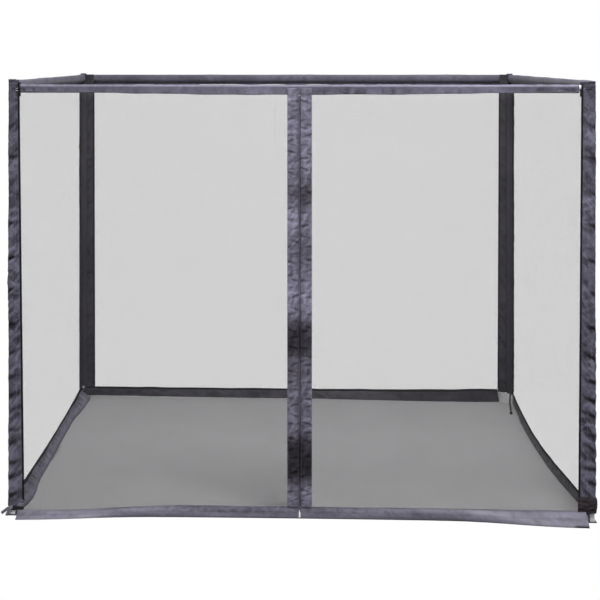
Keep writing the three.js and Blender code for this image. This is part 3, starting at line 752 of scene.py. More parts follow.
        # follow the sleeve's own surface
        ia = np.interp(sb.ravel() / wing_at(key, Zb).ravel(), [0, 1], [0, 1]).reshape(sb.shape)
        dsurf = _lookup(d, a, z, -ia if wall == 0 else ia, Zb)
        off = dsurf + 0.0013
        if wall == 0:
            Pb = np.stack([(EDGE - sb) * sx, (E + off) * sy, Zb], -1)
            o = (0, sy, 0)
        else:
            Pb = np.stack([(E + off) * sx, (EDGE - sb) * sy, Zb], -1)
            o = (sx, 0, 0)
        v_, f_, _ = sheet_arrays(Pb, 0.0010, np.asarray(o, float))
        parts.append((v_, f_))
        off2 = dsurf - 0.0013
        if wall == 0:
            Pb = np.stack([(EDGE - sb) * sx, (E + off2) * sy, Zb], -1)
        else:
            Pb = np.stack([(E + off2) * sx, (EDGE - sb) * sy, Zb], -1)
        v_, f_, _ = sheet_arrays(Pb, 0.0010, -np.asarray(o, float))
        parts.append((v_, f_))
    Vb, Fb = join_arrays(parts)
    binding_and_shadow = mesh_object("corner_sleeve_binding_shadow_" + key, Vb, Fb, Vb[:, [2, 0]].copy(), [BIND_AND_SHADOW])

    for o in (outer, inner, cap, binding_and_shadow):
        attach(o, "frame")
    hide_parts("corner_sleeve_" + key)

    # seam stitching beside the channel and beside the binding, both walls
    ns = np.stack([nx * sx, ny * sy, nx * 0], -1)
    for sgn in (-1, 1):
        for dist in (0.0375,):
            ai = np.argmin(np.abs(S[:, nz // 2] - sgn * dist))
            sel = P[ai, 8:int(nz * 0.955)]
            nn = ns[ai, 8:int(nz * 0.955)]
            _line_stitch("frame", sel, nn)
        ai = np.argmin(np.abs(S[:, nz // 2] - sgn * (w.mean() - 0.011)))
        _line_stitch("frame", P[ai, 12:int(nz * 0.95)], ns[ai, 12:int(nz * 0.95)])


def _lookup(d, a, z, av, zv):
    """Bilinear value of grid d over (a, z)."""
    ia = np.clip(np.interp(av, a, np.arange(len(a))), 0, len(a) - 1.001)
    iz = np.clip(np.interp(zv, z, np.arange(len(z))), 0, len(z) - 1.001)
    i0, j0 = np.floor(ia).astype(int), np.floor(iz).astype(int)
    fa, fz = ia - i0, iz - j0
    return ((d[i0, j0] * (1 - fa) + d[i0 + 1, j0] * fa) * (1 - fz)
            + (d[i0, j0 + 1] * (1 - fa) + d[i0 + 1, j0 + 1] * fa) * fz)


def _line_stitch(body, line, nrm, step=0.0065, raise_=0.0008):
    d = np.concatenate([[0], np.cumsum(np.linalg.norm(np.diff(line, axis=0), axis=1))])
    s = np.arange(step, d[-1] - step, step)
    if len(s) < 2:
        return
    p = np.stack([np.interp(s, d, line[:, k]) for k in range(3)], -1)
    q = np.stack([np.interp(s + 0.001, d, line[:, k]) for k in range(3)], -1)
    n = np.stack([np.interp(s, d, nrm[:, k]) for k in range(3)], -1)
    D = q - p
    D /= np.maximum(np.linalg.norm(D, axis=1, keepdims=True), 1e-9)
    n = n - D * (n * D).sum(1, keepdims=True)
    n /= np.maximum(np.linalg.norm(n, axis=1, keepdims=True), 1e-9)
    add_stitches(body, (p + n * raise_, D, n))


for _k, (_sx, _sy) in CORNERS.items():
    sleeve(_k, _sx, _sy)


# ------------------------------------------------------------------ top bands
def on_wall(wall, t, n, z):
    if wall == "front":
        return np.stack([t, -n, z], -1)
    if wall == "rear":
        return np.stack([t, n, z], -1)
    if wall == "left":
        return np.stack([-n, t, z], -1)
    return np.stack([n, t, z], -1)


OUT = {"front": (0, -1, 0), "rear": (0, 1, 0), "left": (-1, 0, 0), "right": (1, 0, 0)}


def band_bottom(wall, t):
    """Height of the tail's bottom edge along the band."""
    k = np.abs(t) / BAND_T
    if wall == "front":
        return BAND_Z0[wall] + 0.014 * smooth((k - 0.25) / 0.75) + 0.0015 * vnoise(t / 0.12, 0 * t, 5)
    return BAND_Z0[wall] + 0.003 * vnoise(t / 0.15, 0 * t, 6)


def band(wall):
    seed = {"front": 101, "rear": 131, "left": 151, "right": 171}[wall]
    nt_ = 420
    t = np.linspace(-BAND_T, BAND_T, nt_)
    if wall == "front":
        t = np.linspace(-(EDGE - wing_at("fl", 2.10) - 0.0015), EDGE - wing_at("fr", 2.10) - 0.0105, nt_)
    rz = RAIL_Z[wall]
    ro = (BAND_Z1[wall] - rz) - 0.0005
    # section as (n, z, nn, nz, kind): outer tail up, over the rail, down inside and along the tail
    sec = []
    for f in np.linspace(0, 1, 11):
        sec.append((ro - 0.0006, ("tail", f)))
    for ang in np.linspace(0, math.pi, 13)[1:]:
        sec.append(("arc", ang))
    for f in np.linspace(0, 1, 9)[1:]:
        sec.append(("down", f))
    for f in np.linspace(0, 1, 7)[1:]:
        sec.append(("inner", f))
    rows_n, rows_z, rows_nn, rows_nz, rows_amp, rows_k = [], [], [], [], [], []
    zb = band_bottom(wall, t)
    yj = rz - 0.027
    for item in sec:
        if item[0] == "arc":
            a_ = item[1]
            n_, z_ = ro * math.cos(a_) + 0 * t, rz + ro * math.sin(a_) + 0 * t
            nn, nz = math.cos(a_), math.sin(a_)
            amp, kind = 0.4 + 0.6 * math.sin(a_), 1
        elif item[0] == "down":
            f = item[1]
            n0, z0 = -ro, rz
            n1, z1 = ro - 0.0026, yj
            c1 = (-ro, rz - 0.016)
            c2 = (ro - 0.006, yj + 0.006)
            b0, b1, b2, b3 = (1 - f) ** 3, 3 * f * (1 - f) ** 2, 3 * f * f * (1 - f), f ** 3
            n_ = b0 * n0 + b1 * c1[0] + b2 * c2[0] + b3 * n1 + 0 * t
            z_ = b0 * z0 + b1 * c1[1] + b2 * c2[1] + b3 * z1 + 0 * t
            nn, nz = -0.7, -0.7
            if f < 0.3:
                nn, nz = -1.0, 0.0
            amp, kind = 0.6 * (1 - f), 2
        elif item[0] == "inner":
            f = item[1]
            n_ = ro - 0.0026 + 0 * t
            z_ = yj + (zb + 0.003 - yj) * f
            nn, nz = -1.0, 0.0
            amp, kind = f, 3
        else:
            f = item[1][1]
            n_ = ro - 0.0006 + 0 * t
            z_ = zb + (rz - zb) * f
            nn, nz = 1.0, 0.0
            amp, kind = 1 - f, 0
        rows_n.append(n_); rows_z.append(z_)
        rows_nn.append(nn + 0 * t); rows_nz.append(nz + 0 * t)
        rows_amp.append(amp + 0 * t); rows_k.append(kind + 0 * t)
    n_, z_, nn, nz = map(np.array, (rows_n, rows_z, rows_nn, rows_nz))
    amp, kind = np.array(rows_amp), np.array(rows_k)
    T = np.broadcast_to(t, n_.shape)
    arc = np.cumsum(np.r_[np.zeros((1, nt_)), np.hypot(np.diff(n_, axis=0), np.diff(z_, axis=0))], 0)
    # wrinkles of the tail push inwards, so the sliding strips stay clear of it
    g1 = crease(T / 0.055, (z_ + 0.35 * T) / 0.11, seed, 2, 2.0)
    g2 = crease(T / 0.024, (z_ - 0.5 * T) / 0.05, seed + 3, 2, 1.7)
    low = fbm(T / 0.33, z_ / 0.2, seed + 7, 2)
    tail_in = -(0.0052 * g1 + 0.0022 * g2) * (0.35 + 0.65 * smooth(0.5 + 0.9 * low)) - 0.0016 * (0.5 + 0.5 * low)
    tail_in = tail_in + 0.0012
    top_out = 0.0028 * g1 * smooth(0.5 + low) + 0.0010 * g2
    is_tail = (kind == 0)
    is_in = (kind == 3)
    d = np.where(is_tail, tail_in * np.clip(amp * 1.6, 0, 1),
                 np.where(is_in, -tail_in * np.clip(amp * 1.6, 0, 1), top_out * amp))
    d = np.where(is_tail, np.minimum(d, 0.0002 if wall == "front" else 0.002), d)
    N = C + n_ + nn * d
    Zz = z_ + nz * d
    # the channels stand loose above the rails, more so at the back
    crown = {"front": 0 * T, "rear": 0.017 + 0 * T}.get(wall, 0.007 + 0.010 * (T + BAND_T) / (2 * BAND_T))
    Zz = Zz + crown * smooth((z_ - rz) / (ro * 0.8))
    P = on_wall(wall, T, N, Zz)
    outv = on_wall(wall, 0 * T, nn, nz)
    V, F, mat = sheet_arrays(P, 0.0010, outv)
    uv = np.stack([T, arc], -1).reshape(-1, 2)
    # painted highlight along the crest of the channel on the front and rear bands, painted shade along it on the side
    # bands; painted shade in the hollows, random tone, and the rear band painted darker overall as shade
    crest = np.exp(-((z_ - (rz + ro * 0.75)) / 0.0045) ** 2) * (n_ > -0.002)
    lowt = fbm(T / 0.19, z_ / 0.05, seed + 41, 2)
    shade = hollow_shade(d, 2, 9, 0.13, hi=1.0) * (1 + {"front": 0.16, "rear": 0.15}.get(wall, -0.35) * crest) * np.exp(0.13 * np.clip(lowt, -1.5, 1.5))
    shade = shade * (0.80 if wall == "rear" else 1.0)
    obj = mesh_object("top_band_cloth_" + wall, V, F, np.concatenate([uv, uv]), [CLOTH, CLOTH_IN_SHADED], mat, shade=shade)
    # rows past the top of the rail show the inside cloth from inside the room, painted dark as shade
    done(obj, "frame", "oxford_cloth", "top_band_" + wall)
    nrm = on_wall(wall, 0 * T, nn, nz)
    # seam under the channel, and one above the bottom edge
    row = int(np.argmin(np.abs(z_[:11, nt_ // 2] - yj)))
    _line_stitch("frame", P[row, 3:-3], nrm[row, 3:-3])
    _line_stitch("frame", P[1, 3:-3], nrm[1, 3:-3])


for _w in OUT:
    band(_w)


# ------------------------------------------------------------------ netting
def net(wall):
    ends = {"rear": ("rl", "rr"), "left": ("fl", "rl"), "right": ("fr", "rr")}[wall]
    z = np.linspace(HEM_Z1 - 0.003, BAND_Z0[wall] + 0.002, 72)
    u = np.linspace(0, 1, 110)
    U, Z = np.meshgrid(u, z, indexing="ij")
    ta = -(EDGE - wing_at(ends[0], Z) + 0.004)
    tb = EDGE - wing_at(ends[1], Z) + 0.004
    T = ta + (tb - ta) * U
    k = smooth(1 - (Z - HEM_Z1) / 0.5)
    lo, hi = box("wall_mesh_" + wall)
    n_top = float(max(np.abs(lo).max(), np.abs(hi).max()))
    ax = 1 if wall == "rear" else 0
    n_top = float(np.abs(cad("wall_mesh_" + wall)[:, ax]).max()) - 0.0004
    n = n_top + (hem_top_n(wall, T) - n_top) * k
    seed = {"rear": 201, "left": 211, "right": 221}[wall]
    edge = smooth(U / 0.08) * smooth((1 - U) / 0.08) * smooth((Z - HEM_Z1) / 0.25) * smooth((BAND_Z0[wall] - Z) / 0.25)
    n = n - edge * (0.004 + 0.004 * fbm(T / 0.7, Z / 0.9, seed, 2))
    n = n + 0.0 * T
    P = on_wall(wall, T, n - 0.0020 * (1 - edge), Z)
    obj = sheet("netting_" + wall, P, 0.00025, OUT[wall], [NET], uv=np.stack([T, Z], -1))
    done(obj, "frame", "netting", "wall_mesh_" + wall)


for _w in ("rear", "left", "right"):
    net(_w)


# ------------------------------------------------------------------ hems
def hem(wall):
    seed = {"rear": 301, "left": 321, "right": 341}[wall]
    t = np.linspace(-HEM_T - 0.020, EDGE - float(wing_at("rr", 0.08)) - 0.003 if wall == "rear" else HEM_T + 0.020, 380)
    v = np.linspace(0, 1, 15)
    V_, T = np.meshgrid(v, t, indexing="ij")
    nt_, nb = hem_top_n(wall, T), hem_foot_n(wall, T)
    zl, zh = 0.0030, HEM_Z1 + (0.005 * smooth((T - 0.92) / 0.42) if wall == "rear" else 0.0)
    wob = 0.0022 * vnoise(T / 0.09, 0 * T + 2, seed + 1)
    Z = zl + (zh - zl) * V_ + wob * (V_ - 0.2) * 0.9
    n = nb + (nt_ - nb) * V_
    g = crease(T / 0.06 + V_ * 0.5, V_ * 1.1, seed, 2, 1.8)
    g2 = crease(T / 0.027 - V_ * 0.9, V_ * 1.6, seed + 5, 2, 1.6)
    low = fbm(T / 0.35, V_ * 0.6, seed + 9, 2)
    d = 0.0050 * (g - 0.5) + 0.0022 * (g2 - 0.5) + 0.0045 * low
    d = d * (0.35 + 0.65 * smooth(V_ * 2.2)) * smooth((1 - V_) * 3.5 + 0.25)
    P = on_wall(wall, T, n + d, np.maximum(Z, 0.0026))
    # painted shade in the hollows and painted highlight on the crests, with random tone; painted shade along both
    # edges; the rear hem painted darker towards its right end; the left hem painted with a paler band low and a darker
    # band high
    shade = hollow_shade(d, 3, 8, 0.24) * np.exp(0.12 * np.clip(fbm(T / 0.2, V_ * 0.8, seed + 61, 2), -1.5, 1.5))
    shade = shade * np.exp(-0.75 * (np.exp(-((1 - V_) / 0.11) ** 2) + np.exp(-(V_ / 0.11) ** 2)))
    if wall == "rear":
        shade = shade * np.exp(-1.3 * smooth((T - 0.25) / 0.9))
    if wall == "left":
        shade = shade * np.exp(0.20 * np.exp(-((V_ - 0.30) / 0.15) ** 2) - 0.30 * np.exp(-((V_ - 0.70) / 0.16) ** 2))
    # the left hem's inside takes the lit copy of the inside cloth, the right hem's the shaded copy
    inside = {"left": CLOTH_HEM_IN_LIT, "right": CLOTH_HEM_IN_SHADED, "rear": CLOTH_IN_SHADED}[wall]
    obj = sheet("hem_cloth_" + wall, P, 0.0014, OUT[wall], [CLOTH_HEM, inside], uv=np.stack([T, V_ * 0.07], -1), shade=shade)
    done(obj, "frame", "oxford_cloth", "hem_" + wall)
    N = grid_normals(P)
    if (N * np.array(OUT[wall])).sum() < 0:
        N = -N
    for row in (1, 13):
        _line_stitch("frame", P[row], N[row], raise_=0.0009)
    for row in (1, 11):
        _line_stitch("frame", P[row], -N[row], raise_=0.0009)
    # near-black binding along the top edge, where the netting is sewn on; it also stands for the painted shadow along
    # that edge
    Pb = P[12:15] - N[12:15] * 0.0023
    Pb[2, :, 2] += 0.0030
    bd = sheet("hem_binding_shadow_" + wall, Pb, 0.0012, OUT[wall], [BIND_AND_SHADOW], uv=np.stack([T[12:15], V_[12:15] * 0.07], -1))
    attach(bd, "frame")


for _w in ("rear", "left", "right"):
    hem(_w)


# ------------------------------------------------------------------ front leaves
def leaf(side, sx):
    key = "fl" if side == "left" else "fr"
    body = "door_" + side
    seed = 401 if side == "left" else 431
    xin = STRIP_X1 - 0.004
    seam = EDGE - WING[key][0] - 0.0035

    slump = 0.034 if side == "left" else 0.004

    def hem_top(x_):
        """Top edge of the leaf's hem: it sinks towards the corner."""
        return HEM_Z1 - slump * smooth((x_ - 0.55) / 0.75)

    # netting, with soft upright waves that become pleats when the leaf is gathered
    v = np.linspace(0, 1, 64)
    u = np.linspace(0, 1, 240)
    U, V_ = np.meshgrid(u, v, indexing="ij")
    def net_y(x_, z_, u_):
        wave = np.sin(x_ / 0.062 + 0.8 * fbm(x_ / 0.5, z_ / 1.2, seed, 2)) * smooth(u_ / 0.05) * smooth((1 - u_) / 0.06)
        return LEAF_Y + 0.0012 - 0.0062 * (wave * 0.5 + 0.5) * (0.55 + 0.45 * smooth((BAND_Z0["front"] - z_) / 0.4))

    X = xin + (seam - xin) * U
    ztop = band_bottom("front", X) + 0.004
    zlow = hem_top(X) - 0.003
    Z = zlow + (ztop - zlow) * V_
    P = np.stack([X * sx, net_y(X, Z, U), Z], -1)
    obj = sheet("netting_leaf_" + side, P, 0.00025, (0, -1, 0), [NET], uv=np.stack([X, Z], -1))
    done(obj, body, "netting", "leaf_mesh_" + side)
    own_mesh(obj)
    Ug, Vg = np.meshgrid(np.linspace(0, 1, 5), v, indexing="ij")
    zlo_g, zhi_g = float(hem_top(seam)) - 0.001, float(band_bottom("front", np.array([seam]))[0]) + 0.004
    Zg = zlo_g + (zhi_g - zlo_g) * Vg
    Xg = seam + (EDGE - wing_at(key, Zg) + 0.003 - seam) * Ug
    Pg = np.stack([Xg * sx, net_y(seam + 0 * Xg, Zg, 1 + 0 * Xg), Zg], -1)
    gus = sheet("netting_gusset_" + key, Pg, 0.00025, (0, -1, 0), [NET], uv=np.stack([Xg, Zg], -1))
    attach(gus, "frame")

    # hem of the leaf
    hv = cad("leaf_hem_" + side)
    bot = hv[hv[:, 2] < 0.006]
    order = np.argsort(np.abs(bot[:, 0]))
    bx, by = np.abs(bot[order, 0]), bot[order, 1]
    x = np.linspace(STRIP_X0, float(np.abs(hv[:, 0]).max()), 300)
    v = np.linspace(0, 1, 15)
    V_, X = np.meshgrid(v, x, indexing="ij")
    X = X - (STRIP_X0 - 0.0009) * smooth((V_ - 0.01) / 0.24) * (1 - smooth((X - STRIP_X0) / 0.03))
    yb = np.interp(X, bx, by) - (0.048 if side == "left" else 0.066) * smooth((X - 0.75) / 0.62)
    zt = hem_top(X)
    Z = 0.0032 + (zt - 0.0032) * V_
    Y = yb + (LEAF_Y - 0.0006 - yb) * V_
    Y = Y - 0.010 * np.sin(np.pi * np.clip(V_, 0, 1)) * smooth(X / 1.4)
    g = crease(X / 0.06 + V_ * 0.6, V_ * 1.1, seed + 3, 2, 1.8)
    g2 = crease(X / 0.026 - V_ * 0.8, V_ * 1.6, seed + 5, 2, 1.6)
    low = fbm(X / 0.35, V_ * 0.6, seed + 9, 2)
    d = (0.0034 * (g - 0.4) + 0.0016 * (g2 - 0.4) + 0.0045 * low)
    d = d * (0.3 + 0.7 * smooth(V_ * 2)) * smooth((1 - V_) * 3.0 + 0.2) * (0.2 + 0.8 * smooth((X - STRIP_X0) / 0.05))
    Z = np.maximum(Z + 0.0020 * vnoise(X / 0.10, 0 * X + 4, seed + 8) * V_ * (1 - V_) * 2, 0.0028)
    P = np.stack([X * sx, Y - d, Z], -1)
    shade = hollow_shade(d, 3, 7, 0.10, hi=1.0) * np.exp(0.06 * np.clip(fbm(X / 0.22, V_ * 0.9, seed + 61, 2), -1.5, 1.5))
    # darker level lines are painted across the middle and along the top edge
    shade = shade * np.exp(-0.22 * np.exp(-((V_ - 0.52) / 0.07) ** 2) - 0.30 * np.exp(-((V_ - 1.0) / 0.10) ** 2))
    # painted shadow along the bottom edge, much darker towards the right end near the corner
    under = smooth((X - 1.345) / 0.03) * smooth((1.437 - X) / 0.01) if side == "right" else 0.0
    shade = shade * np.exp(-(0.35 + 2.4 * under) * np.exp(-(V_ / 0.11) ** 2))
    obj = sheet("hem_leaf_" + side, P, 0.0014, (0, -1, 0.4), [CLOTH_HEM, CLOTH_IN_SHADED], uv=np.stack([X, V_ * 0.07], -1), shade=shade)
    done(obj, body, "oxford_cloth", "leaf_hem_" + side)
    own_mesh(obj)

    # facing strip beside the zip: stiff cloth with long slow waves and short folds
    z = np.linspace(STRIP_Z0 - 0.002, STRIP_Z1, 900)
    v = np.linspace(0, 1, 19)
    V_, Z = np.meshgrid(v, z, indexing="ij")
    X = STRIP_X0 + (STRIP_X1 - STRIP_X0) * V_
    k1 = crease(Z / 0.075 + V_ * (0.7 if sx < 0 else -0.7), V_ * 0.9, seed + 11, 2, 2.0)
    k2 = crease(Z / 0.028 - V_ * 0.6, V_ * 1.4, seed + 13, 2, 1.6)
    low = fbm(Z / 0.22, V_ * 0.5, seed + 17, 2)
    d = 0.0040 * k1 + 0.0016 * k2 + 0.0040 * (low * 0.5 + 0.5)
    d = d + 0.0050 * V_ * (0.5 + 0.5 * np.sin(Z / 0.21 + (0 if sx < 0 else 1.7)))
    over = smooth((Z - (BAND_Z0["front"] - 0.03)) / 0.03)
    d = d * (1 - 0.55 * over)
    # short puckers across the strip, each one a tuck where the cloth was sewn shorter than the netting
    f = (Z - STRIP_Z0) / (STRIP_Z1 - STRIP_Z0)
    puck = np.zeros_like(Z)
    zk, n_p = STRIP_Z0 + 0.03, 0
    while zk < STRIP_Z1 - 0.02:
        h_ = 0.5 + 0.5 * math.sin(n_p * 2.399 + seed)
        tilt = 0.010 * math.sin(n_p * 1.9 + 0.7 * seed)
        at_edge = V_ if math.sin(n_p * 3.1 + seed) > -0.25 else 1 - V_
        puck = puck + (0.35 + 0.65 * h_) * np.exp(-((Z - zk - tilt * (V_ - 0.5) * 2) / (0.0042 + 0.0022 * h_)) ** 2) * (1 - 0.8 * smooth((1 - at_edge - 0.25) / 0.6))
        zk += 0.021 + 0.026 * (0.5 + 0.5 * math.sin(n_p * 1.27 + 0.3 * seed))
        n_p += 1
    puck = np.clip(puck, 0, 1)
    d = d - 0.0016 * puck * (1 - over)
    d = np.maximum(d, 0.0003)
    # painted shade in long stretches along the strip, as if it hung slack there
    slack_shade = 0.97 * np.exp(-((f - 0.113) / 0.056) ** 4) + 0.12 * np.exp(-((f - 0.235) / 0.045) ** 2)
    slack_shade = slack_shade + (0.78 if sx < 0 else 0.70) * np.exp(-((f - 0.400) / 0.042) ** 4) + 0.24 * np.exp(-((f - 0.325) / 0.034) ** 2)
    slack_shade = slack_shade + (0.24 if sx < 0 else 0.50) * np.exp(-((f - 0.748) / 0.034) ** 2) + 0.26 * np.exp(-((f - 0.612) / 0.036) ** 2)
    slack_shade = slack_shade - 0.12 * np.exp(-((f - 0.892) / 0.028) ** 2) - 0.08 * np.exp(-((f - 0.697) / 0.024) ** 2) - 0.14 * np.exp(-((f - 0.510) / 0.036) ** 2)
    slack_shade = slack_shade * (1 + 0.18 * fbm(Z / 0.06, V_ * 1.2, seed + 67, 2))
    # painted shade in the puckers and the slack stretches, painted highlight on crests, random tone
    shade = hollow_shade(d, 4, 7, 0.20, hi=1.1) * np.exp(-0.60 * puck) * np.exp(-1.95 * slack_shade) * np.exp(0.20 * np.clip(fbm(Z / 0.17, V_ * 0.7, seed + 61, 2), -1.5, 1.5))
    # painted shade beside the zip, and a faint paler line along the middle
    shade = shade * np.exp(-0.30 * np.exp(-(V_ / 0.16) ** 2)) * (1 + 0.10 * np.exp(-((V_ - 0.42) / 0.06) ** 2))
    P = np.stack([X * sx, LEAF_Y - 0.0012 - d, Z], -1)
    obj = sheet("facing_strip_" + side, P, 0.0011, (0, -1, 0), [CLOTH_STRIP, CLOTH_IN_SHADED], uv=np.stack([X, Z], -1), shade=shade * 0.99)
    done(obj, body, "oxford_cloth", "leaf_strip_" + side)
    N = grid_normals(P)
    if N[..., 1].sum() > 0:
        N = -N
    for row in (1, 17):
        _line_stitch(body, P[row, 3:-3], N[row, 3:-3])

    # zip half: tape, and separate teeth that mesh across the middle
    cz = box("zip_chain_" + side)
    yc = float(cz[0][1] + cz[1][1]) / 2
    z = np.linspace(float(cz[0][2]), float(cz[1][2]), 120)
    v = np.linspace(0, 1, 4)
    V_, Z = np.meshgrid(v, z, indexing="ij")
    X = 0.0002 + 0.0132 * V_
    P = np.stack([X * sx, np.full_like(X, yc + 0.0001), Z], -1)

    def zip_shade(z_):
        # painted light and shade along the zip: paler overall, darker through the strips' painted shade stretches,
        # paler at two heights and a little darker at two more
        f_ = (z_ - STRIP_Z0) / (STRIP_Z1 - STRIP_Z0)
        return 1.55 * np.exp(-1.6 * np.exp(-((f_ - 0.113) / 0.056) ** 4) - 1.2 * np.exp(-((f_ - 0.400) / 0.042) ** 4)
                             + 0.30 * np.exp(-((f_ - 0.892) / 0.034) ** 2) + 0.40 * np.exp(-((f_ - 0.510) / 0.04) ** 2)
                             - 0.25 * np.exp(-((f_ - 0.748) / 0.034) ** 2) - 0.25 * np.exp(-((f_ - 0.612) / 0.036) ** 2))

    tape = sheet("zip_tape_" + side, P, 0.0007, (0, -1, 0), [ZIPT], uv=np.stack([X, Z], -1), shade=zip_shade(Z))
    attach(tape, body)
    pitch = 0.0026
    zz = np.arange(float(cz[0][2]) + 0.002, float(cz[1][2]) - 0.002, pitch) + (0 if sx < 0 else pitch / 2)
    prof = np.array([[-0.0009, 0.38], [0.0006, 0.42], [0.0024, 0.50], [0.0034, 0.36]])
    rows = []
    for xx, hw in prof:
        for yy, zf in ((-1, -1), (1, -1), (1, 1), (-1, 1)):
            rows.append([xx, yy * 0.0013 * (0.75 + 0.25 * hw), zf * pitch * 0.5 * hw])
    rows = np.array(rows)
    tv = np.repeat(rows[None], len(zz), 0)
    tv[..., 2] += zz[:, None]
    tv[..., 1] += yc
    tv[..., 0] *= sx
    f = []
    for r_ in range(3):
        for k_ in range(4):
            a_, b_ = r_ * 4 + k_, r_ * 4 + (k_ + 1) % 4
            f.append([a_, b_, b_ + 4, a_ + 4])
    f.append([3, 2, 1, 0])
    f.append([12, 13, 14, 15])
    f = np.array(f)
    if sx < 0:
        f = f[:, ::-1]
    FF = (f[None] + (np.arange(len(zz)) * 16)[:, None, None]).reshape(-1, 4)
    teeth = mesh_object("zip_teeth_" + side, tv.reshape(-1, 3), _outward(tv[0], f, FF), None, [TEETH], smooth_shade=False, shade=zip_shade(tv[..., 2].reshape(-1)))
    done(teeth, body, "zip", "zip_chain_" + side)


def _outward(v, f, FF):
    ce = v.mean(0)
    s = 0
    for q in f:
        a, b, c = v[q[0]], v[q[1]], v[q[2]]
        s += np.dot(np.cross(b - a, c - a), a - ce)
    return FF if s > 0 else FF[:, ::-1]


leaf("left", -1)
leaf("right", 1)


# ------------------------------------------------------------------ groundsheet
def groundsheet():
    gv = cad("ground_sheet")
    notch = 1.4255
    tail = [notch + 0.0035, notch + 0.028, 1.0]
    s = np.r_[-np.array(tail[::-1]), np.linspace(-notch, notch, 107), tail]
    s[0], s[-1] = -9.0, 9.0                               # the outer lines lie on the side edges
    v = np.r_[-np.array(tail[::-1]), np.linspace(-notch, notch, 107), tail]
    v[0], v[-1] = -9.0, 9.0
    fv = gv[(gv[:, 1] < -1.40) & (np.abs(gv[:, 0]) <= notch + 0.004)]
    o = np.argsort(fv[:, 0])
    sc_, vc = np.clip(s, -HEM_T, HEM_T), np.clip(v, -HEM_T, HEM_T)
    fy = np.interp(sc_, fv[o, 0], fv[o, 1])
    yr = np.maximum(hem_n("rear", sc_, 1), hem_foot_n("rear", sc_)) + 0.004
    xr = np.maximum(hem_n("right", vc, 1), hem_foot_n("right", vc)) + 0.004
    xl = -(np.maximum(hem_n("left", vc, 1), hem_foot_n("left", vc)) + 0.004)
    X = np.clip(s[:, None] + 0 * v[None, :], xl[None, :], xr[None, :])
    out_x = (np.abs(s) > notch + 0.001)[:, None]
    lo_y = np.where(out_x, -notch, fy[:, None])
    hi_y = np.where(out_x, notch, yr[:, None])
    Y = np.clip(v[None, :] + 0 * s[:, None], -notch, notch)
    span_lo, span_hi = -notch - lo_y, hi_y - notch
    q_lo = np.clip((-notch - v[None, :]) / 0.05, 0, 1)
    q_hi = np.clip((v[None, :] - notch) / 0.05, 0, 1)
    Y = np.where(v[None, :] < -notch, np.where(out_x, -notch + 0.012 * (1 - q_lo) - 0.0, -notch - span_lo * q_lo), Y)
    Y = np.where(v[None, :] > notch, np.where(out_x, notch - 0.012 * (1 - q_hi), notch + span_hi * q_hi), Y)
    Y = np.where(out_x & (np.abs(v[None, :]) <= notch + 1e-6), Y * (notch - 0.016) / notch, Y)
    rim = np.minimum.reduce([X - xl[None, :], xr[None, :] - X, Y - lo_y, hi_y - Y])
    h = 0.0011 * crease(X / 0.42, Y / 0.55, 501, 2, 2.2) * smooth(rim / 0.09)
    Z = 0.0006 + h
    P = np.stack([X, Y, Z], -1)
    obj = sheet("groundsheet_cloth", P, 0.0008, (0, 0, 1), [FLOOR], uv=np.stack([X, Y], -1))
    done(obj, "frame", "floor_cloth", "ground_sheet")


groundsheet()


def sheet_corner(key, sx, sy):
    """The groundsheet's corner, folded up inside the leg."""
    U, V_ = np.meshgrid(np.linspace(0, 1, 41), np.linspace(0, 1, 15), indexing="ij")
    wing = float(wing_at(key, 0.08))
    a_, b_ = EDGE - wing - 0.004, EDGE - 0.0055
    bow = 0.019 * np.sin(np.pi * U) ** 0.7
    bx = a_ + (b_ - a_) * U - bow
    by = b_ + (a_ - b_) * U - bow
    hgt = 0.060 - 0.012 * np.abs(2 * U - 1) ** 3
    w = 0.0012 * crease(U * 2.2, V_ * 1.1, 561, 2, 1.8) * V_
    bx = bx - 0.014 * U * (1 - V_)
    by = by - 0.078 * (1 - V_)
    P = np.stack([(bx - w) * sx, (by - w) * sy, 0.0030 + hgt * V_ ** 1.7], -1)
    obj = sheet("groundsheet_corner_" + key, P, 0.0009, (-sx, -sy, 0), [FLOOR], uv=np.stack([U * 0.06, V_ * 0.06], -1))
    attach(obj, "frame")


sheet_corner("rr", *CORNERS["rr"])


# ------------------------------------------------------------------ straps, cords and small parts
def ribbon(name, pts, nrm, width, t, mat, sub=6):
    """A strap along points, its flat side facing nrm, smoothed between the points."""
    pts, nrm = np.asarray(pts, float), np.asarray(nrm, float)
    k = np.arange(len(pts))
    q = np.linspace(0, len(pts) - 1, (len(pts) - 1) * sub + 1)

    def spline(a):
        out = []
        for x in q:
            i = min(int(x), len(a) - 2)
            f = x - i
            p0, p1, p2, p3 = a[max(i - 1, 0)], a[i], a[i + 1], a[min(i + 2, len(a) - 1)]
            out.append(0.5 * (2 * p1 + (p2 - p0) * f + (2 * p0 - 5 * p1 + 4 * p2 - p3) * f * f
                              + (3 * p1 - p0 - 3 * p2 + p3) * f ** 3))
        return np.array(out)

    c, n = spline(pts), spline(nrm)
    n /= np.linalg.norm(n, axis=1, keepdims=True)
    D = np.gradient(c, axis=0)
    D /= np.linalg.norm(D, axis=1, keepdims=True)
    side = np.cross(D, n)
    side /= np.linalg.norm(side, axis=1, keepdims=True)
    v = np.linspace(-1, 1, 5)
    P = c[:, None] + side[:, None] * (v[None, :, None] * width / 2)
    nn = np.broadcast_to(n[:, None], P.shape)
    V, F, m_ = sheet_arrays(P, t, nn)
    L = np.concatenate([[0], np.cumsum(np.linalg.norm(np.diff(c, axis=0), axis=1))])
    uu, vv = np.meshgrid(L, v * width / 2, indexing="ij")
    uv = np.stack([uu, vv], -1).reshape(-1, 2)
    return mesh_object(name, V, F, np.concatenate([uv, uv]), [mat])


